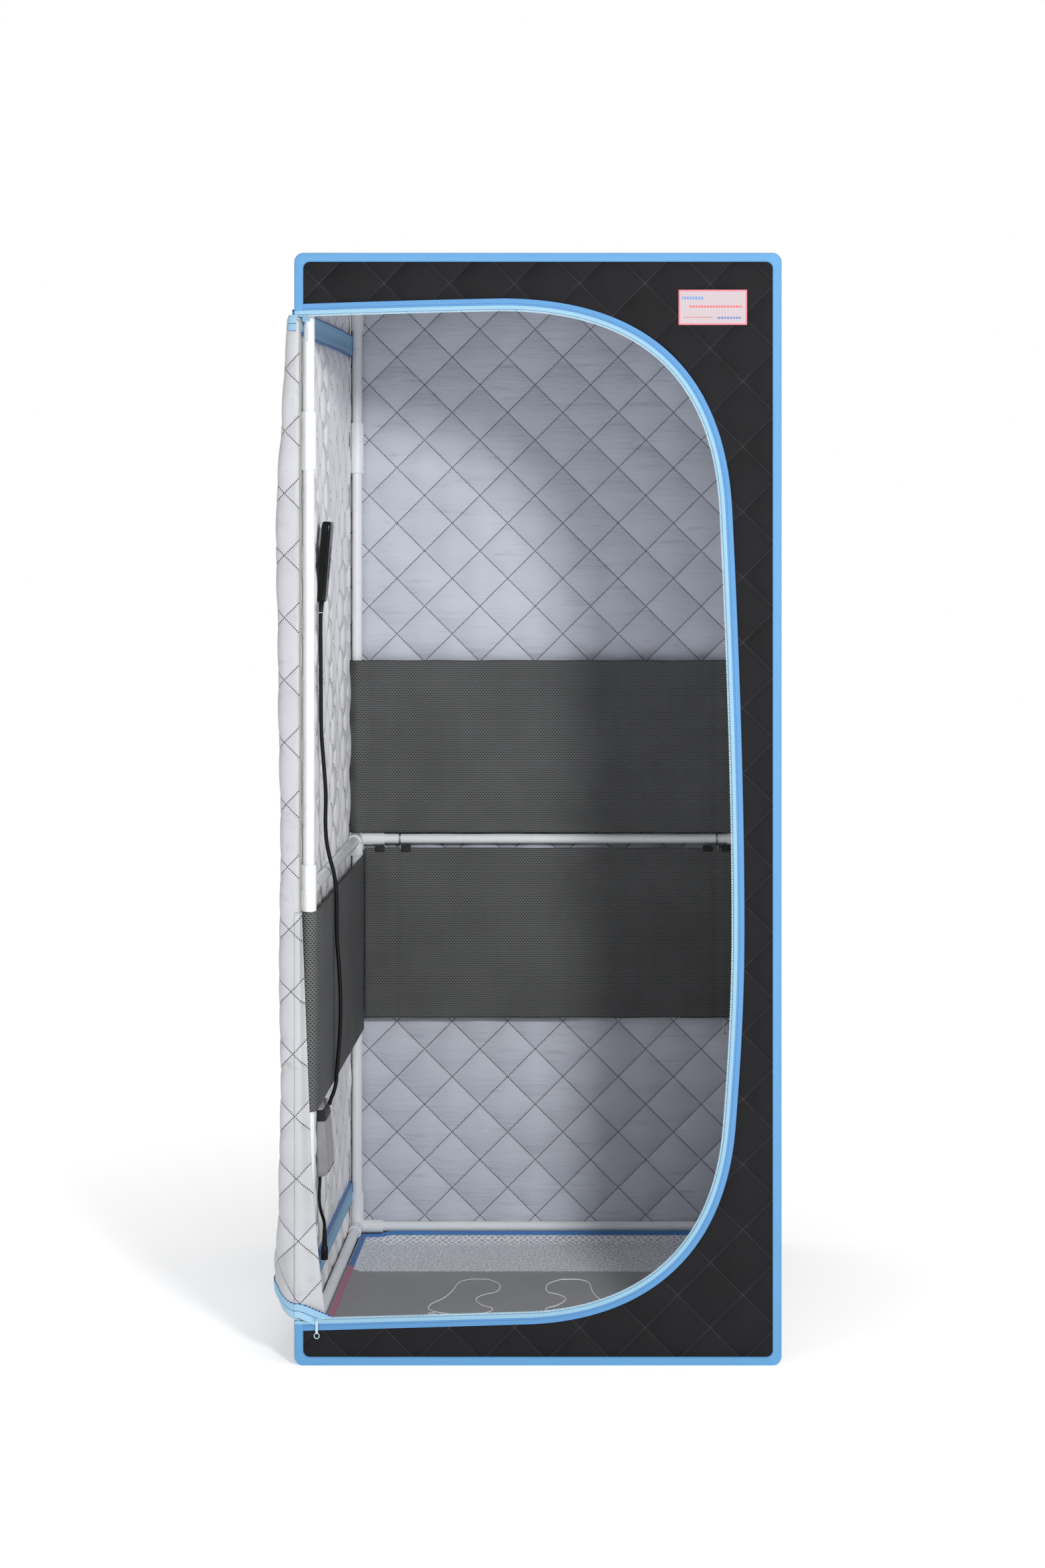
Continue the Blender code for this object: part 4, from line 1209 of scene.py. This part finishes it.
def make_door(m):
    """Quilted door: one cloth from the cabin's corner round its fold to the zipped edge."""
    edge = door_edge(0.004, -0.0030)[0]
    beyond = np.flatnonzero(edge[:, 0] > CORNER_X)
    turn_high, turn_low = beyond[0], beyond[-1]
    wide, tall = 96, 216
    high, low = by_count(edge[:turn_high + 1], wide), by_count(edge[turn_low:][::-1], wide)
    right = by_count(edge[turn_high:turn_low + 1][::-1], tall)
    left = by_count(np.array([low[0], high[0]]), tall)
    grid = coons(left, right, low, high)
    x, z = grid[..., 0], grid[..., 1]
    near = unit(to_rim(*np.meshgrid(np.arange(wide), np.arange(tall))) * WALL_CELL / RIM_FADE)
    u, v = quilt_place(x, z)
    wave = ripple(x, z, 21, 15.0, 0.0018) * near
    bulge = puff(u, v, 0.0026) * near
    inside = stack(x, DOOR_Y + 0.0016 + wave + bulge, z)[:, ::-1]
    outside = stack(x, DOOR_Y - 0.0016 + wave - bulge * 0.8, z)[:, ::-1]
    both = [m["door_lining"], m["black_quilt"]]
    cloth = sheet_mesh("door_cloth", inside, outside, stack(u, v)[:, ::-1], both)
    fold_object(cloth, "cover_quilt", "door_fold", "door_leaf")
    tapes = make_door_tapes(m)
    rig.sheet(cloth, flat=(0.712, 1.650), held="hung", area=area_of(grid), rests_on=["corner_piping"],
             with_pieces=tapes)
    # piping down the corner beside the door: a cloth edge, coloured olive-grey as painted shade of the gap between the
    # door and the post
    piping = [(-0.3925, -0.4000 + 0.0006 * math.sin(z * 23), z) for z in np.linspace(0.745, 1.722, 90)]
    put(tube_curve("corner_piping", piping, 0.0028, m["corner_piping"], 4), "binding")


# Corner cloth: heights, how far it reaches from the door's hinged edge at each, and X of its other edge
GUSSET = ((0.090, 0.200, 0.330, 0.420, 0.600, 0.745), (0.0425, 0.0290, 0.0190, 0.0155, 0.0085, 0.0030))
GUSSET_START = DOOR_START - 0.008


def make_gusset(m):
    """Lining cloth that closes the corner beside the door's hinged edge, in front of the post."""
    share, z = np.meshgrid(np.linspace(0, 1, 15), np.linspace(0.0805, 0.745, 112))
    x = GUSSET_START + share * (DOOR_START + np.interp(z, *GUSSET) - GUSSET_START)
    z = z - 0.53 * unit(x - DOOR_START) * unit((0.30 - z) / 0.2)
    u, v = quilt_place(2 * DOOR_START - x, z)
    ease = unit((x - DOOR_START) / (x[:, -1:] - DOOR_START))
    behind = -0.4066 + 0.0108 * ease * ease * (3 - 2 * ease)
    y = behind - puff(u, v, 0.0012) * unit(4 * share * (1 - share))
    cloth = [m["door_lining"], m["black_quilt"]]
    front, back = stack(x, y - 0.0008, z), stack(x, behind + 0.0004, z)
    made = sheet_mesh("corner_gusset", front, back, stack(u, v), cloth)
    put(made, "lining")
    path = stack(x[0], behind[0] - 0.0010, z[0] - 0.001)
    away = [(-0.47, 0, -0.88) if place > DOOR_START else (0, 0, -1) for place in x[0]]
    light = mm((0.0, -0.6), (0.0, 1.2), (-11.2, 1.6), (-12.0, -0.6))
    inner = mm((-11.8, -0.6), (-12.2, 2.0), (-23.6, 2.0), (-24.2, -0.6))
    tapes = []
    for label, profile, paint in (("light", light, "door_tape"), ("inner", inner, "door_tape_inner")):
        tapes.append(put(ribbon(f"gusset_tape_{label}", path, away, profile, m[paint]), "zip_tape"))
    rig.sheet(made, flat=(0.048, 0.686), held="stretched", area=area_of(stack(x, z)),
             rests_on=["corner_piping"], with_pieces=tapes)


def make_door_tapes(m):
    """Moving half of the zip, sewn over the door's edge."""
    line, outward = door_edge(0.006, -0.0012)
    path, normals, side = in_plane(line, DOOR_Y), in_plane(outward, 0), (0, 1, 0)
    light = mm((-0.4, -1.6), (0.0, 0.0), (-0.4, 2.0), (-5.0, 3.6), (-11.2, 3.4), (-12.0, 2.0), (-12.0, -2.0),
               (-11.2, -3.0), (-5.0, -3.0))
    inner = mm((-11.8, 2.0), (-12.2, 3.8), (-18.0, 4.4), (-23.6, 3.8), (-24.2, 1.6), (-24.2, -1.6),
               (-23.6, -3.4), (-12.2, -3.4))
    made = [ribbon("door_tape_light", path, normals, light, m["door_tape"], side),
            ribbon("door_tape_inner", path, normals, inner, m["door_tape_inner"], side),
            make_teeth("door_zip_teeth", *door_edge(ZIP_PITCH, 0.0), DOOR_Y, m["zip_teeth"])]
    return [fold_object(piece, "zip_tape") for piece in made]


# ---------------------------------------------------------------- heating panels and mats

def hung_panel(name, path, z_span, front, back, material, seed, seams=(), mirrored=False, sag=0.0,
               bulge=0.0):
    """Cloth panel along a plan path. front and back are how far its faces stand off the path."""
    path = np.array(path, float)
    run = np.gradient(path, axis=0)
    run /= np.linalg.norm(run, axis=1, keepdims=True)
    right = stack(run[:, 1], -run[:, 0])
    along = reach_of(path)
    tall = z_span[1] - z_span[0]
    share = np.linspace(0, 1, round(tall / PANEL_CELL) + 1)[:, None]
    drop = sag * np.sin(np.pi * along / along[-1])
    z = z_span[0] + share * tall - drop * share + ripple(along, along * 0 + 1, seed, 40.0, 0.0008)
    edge = np.minimum(share, 1 - share) * tall
    fade = unit(edge / 0.02) * unit(np.minimum(along, along[-1] - along) / RIM_FADE)
    lift = ripple(np.broadcast_to(along, fade.shape), z, seed + 1, 18.0, 0.0012) * fade
    groove = -0.0011 * np.exp(-((edge - 0.010) / 0.0016) ** 2)
    for seam in seams:
        groove = groove - 0.0026 * np.exp(-((along - seam) / 0.0032) ** 2)
    grids = []
    for offset in (front + bulge + np.minimum(lift, 0.0012) + groove, -np.array(back) + lift * 0.2):
        offset = np.broadcast_to(offset, fade.shape)
        grid = stack(path[:, 0] + right[:, 0] * offset, path[:, 1] + right[:, 1] * offset, z)
        if mirrored:
            grid = grid[:, ::-1] * (-1, 1, 1)
        grids.append(grid)
    uv = stack(np.broadcast_to(along, z.shape), z)
    made = sheet_mesh(name, *grids, uv[:, ::-1] if mirrored else uv, [material] * 2)
    return made, (tall, along[-1])


def circle(cx, cy, r, start, end, spacing=0.003):
    """Arc in plan, from start to end in degrees."""
    steps = max(2, round(abs(math.radians(end - start)) * r / spacing))
    angles = np.radians(np.linspace(start, end, steps + 1))
    return stack(cx + r * np.cos(angles), cy + r * np.sin(angles))


def make_panels(m):
    """Heating panels: the upper one round the back posts, one below the rail, one on each side."""
    low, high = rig.box("heater_back_upper")
    r = 0.01365
    left = circle(-POST, POST, r, 15, 270)
    right = circle(POST, POST, r, -90, 165)
    across = stack(np.linspace(-POST, POST, 130), np.full(130, POST - r))[1:-1]
    path = np.concatenate([left, across, right])
    back = np.full(len(path), 0.0006)
    back[len(left) + 4:-len(right) - 4] = 0.0038
    seams = [length_of(left) + x for x in (0.021, 0.074, 2 * POST - 0.021, 2 * POST - 0.074)]
    bulge = 0.0060 * np.exp(-((np.abs(path[:, 0]) - POST + 0.004) / 0.009) ** 2) * (path[:, 1] < POST)
    upper, size = hung_panel("heater_upper_cloth", path, (low.z, high.z), 0.0007, back, m["heater_mesh"],
                             31, seams, bulge=bulge)
    put(upper, "heater_cloth", "heater_back_upper")
    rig.sheet(upper, flat=size, held="hung", rests_on=["upper_post_back_left", "upper_post_back_right"])
    low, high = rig.box("heater_back_lower")
    path = stack(np.linspace(low.x, high.x, 130), np.full(130, (low.y + high.y) / 2))
    lower, size = hung_panel("heater_lower_cloth", path, (low.z + 0.0045, high.z + 0.0045), 0.0021, 0.0021,
                             m["heater_mesh"], 33, (0.06, 0.67), sag=0.001)
    put(lower, "heater_cloth", "heater_back_lower")
    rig.sheet(lower, flat=size, held="hung", rests_on=["mid_rail_back"])
    for side, mirrored in (("left", False), ("right", True)):
        low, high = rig.box("heater_left")
        sleeve = circle(-POST, -POST, 0.01215, 48, 360)
        face = stack(np.full(125, -POST + 0.01215), np.linspace(-POST, high.y, 126)[1:])
        path = np.concatenate([sleeve, face])
        made, size = hung_panel(f"heater_{side}_cloth", path, (low.z, high.z), 0.0020, 0.0020,
                                m["heater_mesh"], 35 + mirrored, (length_of(sleeve) + 0.03,), mirrored)
        put(made, "heater_cloth", f"heater_{side}")
        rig.sheet(made, flat=size, held="hung", rests_on=[f"lower_post_front_{side}", f"mid_rail_{side}"])
    make_rings(m)


def ring(name, centre, radius, wire, material, axis):
    """Split ring of round wire about an axis, 0 for X and 1 for Y."""
    flat = [(0, math.cos(a), math.sin(a)) if axis == 0 else (math.cos(a), 0, math.sin(a)) for a in turns(40)]
    points = [tuple(c + radius * f for c, f in zip(centre, point)) for point in flat]
    return put(tube_curve(name, points, wire, material, 4, closed=True), "steel")


def make_rings(m):
    """Steel rings that hang the panels on the middle rails, and the clip on the lower panel."""
    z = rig.box("mid_rail_back")[0].z + TUBE_R
    for number, x in enumerate((-0.297, 0.307), 1):
        ring(f"rail_ring_{number}", (x, POST, z), TUBE_R + 0.0016, 0.0014, m["steel"], 0)
        ring(f"panel_ring_{number}", (x + 0.002, POST - 0.0105, z - 0.0175), 0.0062, 0.0009, m["steel"], 0)
    ring("rail_ring_3", (-POST, -0.325, z), TUBE_R + 0.0016, 0.0014, m["steel"], 1)
    for number, x in enumerate((-0.335, -0.285, 0.290, 0.325), 1):
        stations = [(z, x, y, half_x, half_y, 4) for z, y, half_x, half_y in mm(
            (753.5, 366.5, 8.5, 3.4), (756.0, 366.5, 9.5, 4.0),
            (763.0, 367.2, 9.5, 3.4), (765.5, 368.0, 8.0, 1.8))]
        put(shell_of_sections(f"hook_tape_{number}", stations, m["webbing"], 32, 60), "heater_cloth")
    clip = [(0.326 + x, 0.3590, 0.420 + z) for x, z in mm(
        (-5.5, -10.0), (-5.5, 10.0), (-3.3, 12.5), (3.3, 12.5),
        (5.5, 10.0), (5.5, -10.0), (3.3, -12.5), (-3.3, -12.5))]
    put(tube_curve("panel_clip", clip, 0.0013, m["steel"], 4, closed=True), "steel")


def mat_curl(x, y):
    """How far the mats curl up under the rails at the back and the sides."""
    back = unit((y - 0.325) / 0.045) ** 2 * (0.0125 + 0.0060 * unit((0.335 - np.abs(x)) / 0.02))
    side = unit((np.abs(x) - 0.345) / 0.025) ** 2 * 0.0135
    return np.maximum(back, side)


def laid_mat(name, low, high, materials, seed, lift=0.0006):
    """Mat in the box from low to high, slightly wavy, curled up at the back and the sides."""
    x, y = np.meshgrid(spaced(low.x, high.x, MAT_CELL), spaced(low.y, high.y, MAT_CELL))
    wave = ripple(x, y, seed, 16.0, lift) * unit(to_rim(x, y) / 0.05)
    top = stack(x, y, high.z - 0.0004 + np.minimum(wave, 0.0004) + mat_curl(x, y))
    bottom = stack(x, y, low.z + 0.0002 + mat_curl(x, y))
    return sheet_mesh(name, top, bottom, stack(x, y), materials)


def mat_edge(top, out, step, rise):
    """Profile of the binding round a mat that is top thick."""
    return ((-out, top + step), (0.0006 - out, top + 0.0010), (-0.001, top + rise), (0.001, top * 0.5),
            (0.0, 0.0003), (-out, 0.0003))


def make_mats(m):
    """Silver mat over the whole floor and the foot mat on it, with their bindings."""
    low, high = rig.box("floor_mat")
    mat = laid_mat("silver_mat", low, high, [m["silver_cloth"], m["foam_back"]], 41)
    put(mat, "floor_mat", "floor_mat")
    corners, outward = round_rect(low.x + 0.001, high.x - 0.001, low.y + 0.001, high.y - 0.001, 0.008)
    both = np.concatenate([corners, outward], 1)
    both = resample([*both, both[0]], 0.012)[:-1]
    corners, outward = both[:, :2], both[:, 2:]
    outward /= np.linalg.norm(outward, axis=1, keepdims=True)
    inset = corners - outward * 0.001
    path = stack(corners[:, 0], corners[:, 1], low.z + mat_curl(inset[:, 0], inset[:, 1]))
    normals = stack(outward[:, 0], outward[:, 1], np.zeros(len(corners)))
    top = high.z - low.z
    profile = mat_edge(top, 0.009, 0.0002, 0.0008)
    binding = ribbon("silver_mat_binding", path, normals, profile, m["mat_binding"], (0, 0, 1), closed=True)
    put(binding, "binding")
    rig.sheet(mat, flat=(high.x - low.x, high.y - low.y), held="laid", rests_on=["floor_quilt"],
             with_pieces=[binding])
    low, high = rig.box("foot_mat")
    mat = laid_mat("foot_mat_cloth", low, high, [m["foot_cloth"]] * 2, 43)
    put(mat, "foot_mat", "foot_mat")
    pieces = []
    top = high.z - low.z
    profile = mat_edge(top, 0.010, 0.0, 0.0009)
    for side, x, sign in (("left", low.x + 0.001, -1), ("right", high.x - 0.001, 1)):
        path = [(x, y, low.z + float(mat_curl(x - sign * 0.004, y))) for y in np.linspace(low.y, high.y, 30)]
        edge = ribbon(f"foot_mat_binding_{side}", path, [(sign, 0, 0)] * 30, profile, m["pink_binding"],
                      (0, 0, 1))
        pieces.append(put(edge, "binding"))
    pieces += make_footprints(m, high.z)
    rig.sheet(mat, flat=(high.x - low.x, high.y - low.y), held="laid", rests_on=["silver_mat"],
             with_pieces=pieces)


FOOT_SHAPE = mm((18, 120), (-14, 120), (-34, 96), (-42, 34), (-54, -14), (-74, -60), (-70, -98), (-34, -122),
                (8, -124), (32, -108), (36, -84), (16, -60), (4, -20), (16, 10), (38, 32), (40, 84))
TOES = mm((22, -136, 10.5), (-2, -140, 9.0), (-24, -139, 8.2), (-45, -133, 7.4), (-66, -122, 6.6))


def make_footprints(m, z):
    """Outlines of two bare feet printed on the foot mat."""
    prints = []
    for label, centre, sign in (("left", -0.128, 1), ("right", 0.038, -1)):
        place = Matrix.Translation((centre, -0.042, z - 0.0003)) @ Matrix.Diagonal((1, 0.93, 1, 1))
        round_foot = smooth(FOOT_SHAPE + FOOT_SHAPE[:1], 0.006)[:-1]
        outline = [place @ Vector((sign * x, y, 0)) for x, y in round_foot]
        prints.append(tube_curve(f"foot_outline_{label}", outline, 0.0011, m["mat_print"], 2, closed=True))
        for number, (x, y, r) in enumerate(TOES, 1):
            ringed = [place @ Vector((sign * x + r * math.cos(a), y + r * math.sin(a), 0))
                      for a in turns(20)]
            name = f"toe_outline_{label}_{number}"
            prints.append(tube_curve(name, ringed, 0.0010, m["mat_print"], 2, closed=True))
    return [put(made, "foot_mat") for made in prints]


# ---------------------------------------------------------------- the whole cabin

def label_paint(name):
    """White woven label: pink stitched border and plain bars in place of its text."""
    p = Paint(name, roughness=0.55, sheen=0.2)
    u, v = p.split(p.uv())
    tone = (186, 173, 177)
    bars = (((0.16, 0.93), (0.49, 0.55), (214, 84, 92)), ((0.08, 0.50), (0.20, 0.225), (190, 90, 100)),
            ((0.56, 0.92), (0.17, 0.23), (84, 110, 176)), ((0.05, 0.36), (0.72, 0.80), (96, 140, 205)))
    for (x0, x1), (y0, y1), colour in bars:
        mask = p.math("GREATER_THAN", u, x0)
        for test, value, limit in (("LESS_THAN", u, x1), ("GREATER_THAN", v, y0), ("LESS_THAN", v, y1)):
            mask = p.math("MULTIPLY", mask, p.math(test, value, limit))
        words = p.math("GREATER_THAN", p.sine(u, 150.0), -0.55)
        tone = p.mix(p.math("MULTIPLY", mask, words), tone, colour)
    across, up = (p.math("SUBTRACT", 0.5, p.gap(x, 0.5)) for x in (u, v))
    edge = p.math("LESS_THAN", p.math("MINIMUM", p.math("MULTIPLY", across, 1.95), up), 0.045)
    p.colour(p.mix(edge, tone, (222, 128, 140)))
    p.bump(weave(p, p.place(), 0.0008), 0.0001, 0.3)
    return p.material


def felt_paint(name):
    p = Paint(name, roughness=0.9, sheen=0.3)
    where = p.place()
    fuzz = p.noise(where, 700.0, 3.0)
    cloud = p.noise(where, 60.0, 2.0)
    tone = p.mix(fuzz, (134, 134, 140), (176, 176, 180))
    p.colour(p.mix(p.ramp(cloud, 0.3, 0.7, 0.0, 0.25), tone, (112, 112, 118)))
    p.bump(fuzz, 0.0012, 0.6)
    p.bump(cloud, 0.003, 0.4)
    return p.material


PAINTS = {                              # material name: its function and what that is told
    "black_quilt": (black_quilt_paint,),
    "lining": (lining_paint, (204, 208, 219), 26.0, (0.35, 2.6, 1.0)),
    "side_lining": (lining_paint, (250, 250, 253), 30.0, (3.5, 0.5, 1.0), 0.009),
    "door_lining": (lining_paint, (191, 192, 196), 22.0, (1.0, 1.2, 1.0)),
    "trim": (ribbon_paint, (96, 158, 208), ((80, 138, 190), (0.09,), 0.012, 0.0042)),
    "zip_blue": (ribbon_paint, (88, 148, 200), ((47, 79, 159), (0.97, 0.30), 0.028, 0.0042)),
    "zip_light": (ribbon_paint, (146, 190, 215), None, 0.0026),
    "zip_band": (ribbon_paint, (140, 192, 228), ((42, 76, 152), (0.04, 0.96), 0.045, 0.0060)),
    # door_tape: the zip's light tape, drawn paler than zip_light as painted light that lifts the door's half where it
    # faces down and to the left
    "door_tape": (ribbon_paint, (160, 202, 226), ((60, 100, 180), (0.04,), 0.05, 0.0042)),
    "door_tape_inner": (ribbon_paint, (150, 196, 224), ((42, 76, 152), (0.05,), 0.06, 0.0060)),
    "mat_binding": (ribbon_paint, (65, 125, 190)),
    "pink_binding": (ribbon_paint, (190, 112, 142)),
    "heater_mesh": (mesh_cloth_paint, 0.0056, (26, 26, 27), (108, 109, 109)),
    "silver_cloth": (silver_paint,),
    "foam_back": (plastic_paint, (120, 122, 125), 0.8),
    "foot_cloth": (foot_cloth_paint,),
    "pouch_felt": (felt_paint,),
    "webbing": (thread_paint, (26, 26, 28)),
    "piping": (thread_paint, (60, 60, 58)),
    # corner piping: its olive-grey colour is painted shade of the gap beside the door
    "corner_piping": (thread_paint, (168, 168, 156)),
    "mat_print": (thread_paint, (255, 255, 255)),
    "tube_plastic": (plastic_paint, (238, 240, 242), 0.30, 0.02, 0.15),
    "handset_plastic": (plastic_paint, (9, 9, 10), 0.22, 0.2, 0.0, 0.3),
    "black_plastic": (plastic_paint, (18, 18, 20), 0.45, 0.2, 0.0, 0.3),
    "cable_rubber": (plastic_paint, (12, 12, 13), 0.42, 0.2, 0.0, 0.25),
    "button_rubber": (plastic_paint, (120, 124, 130), 0.45, 0.1),
    "zip_teeth": (plastic_paint, (186, 222, 242), 0.35, 0.06),
    "zip_enamel": (plastic_paint, (150, 198, 228), 0.25, 0.10, 0.4),
    "tab_enamel": (plastic_paint, (188, 208, 220), 0.25, 0.10, 0.3),
    "steel": (metal_paint, (196, 198, 200), 0.28),
    "label_cloth": (label_paint,),
}
m = {name: paint(name, *looks) for name, (paint, *looks) in PAINTS.items()}
make_camera()
make_cords(m)
make_studio()
tubes = [name for name in frame["nodes"] if "_post_" in name or "_rail_" in name]
fittings = [name for name in frame["nodes"] if "_corner_" in name or "_tee_" in name]
repaint(tubes, m["tube_plastic"], "frame_tube")
repaint(fittings, m["tube_plastic"], "frame_fitting")
repaint(["zip_slider_top", "zip_slider_bottom"], m["zip_enamel"], "zip_metal")
make_front(m)
make_tab(m, "top", 0.0013, 0.0021, 0.0090)
make_tab(m, "bottom", 0.0021, 0.0042, 0.0)
make_walls(m)
make_door(m)
make_gusset(m)
make_panels(m)
make_mats(m)
make_handset(m)
make_pouch(m)

sizes = {"cad": [list(corner) for corner in cad_box], "visual": [list(corner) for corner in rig.bounds()]}
with open("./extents.json", "w") as file:
    json.dump(sizes, file)
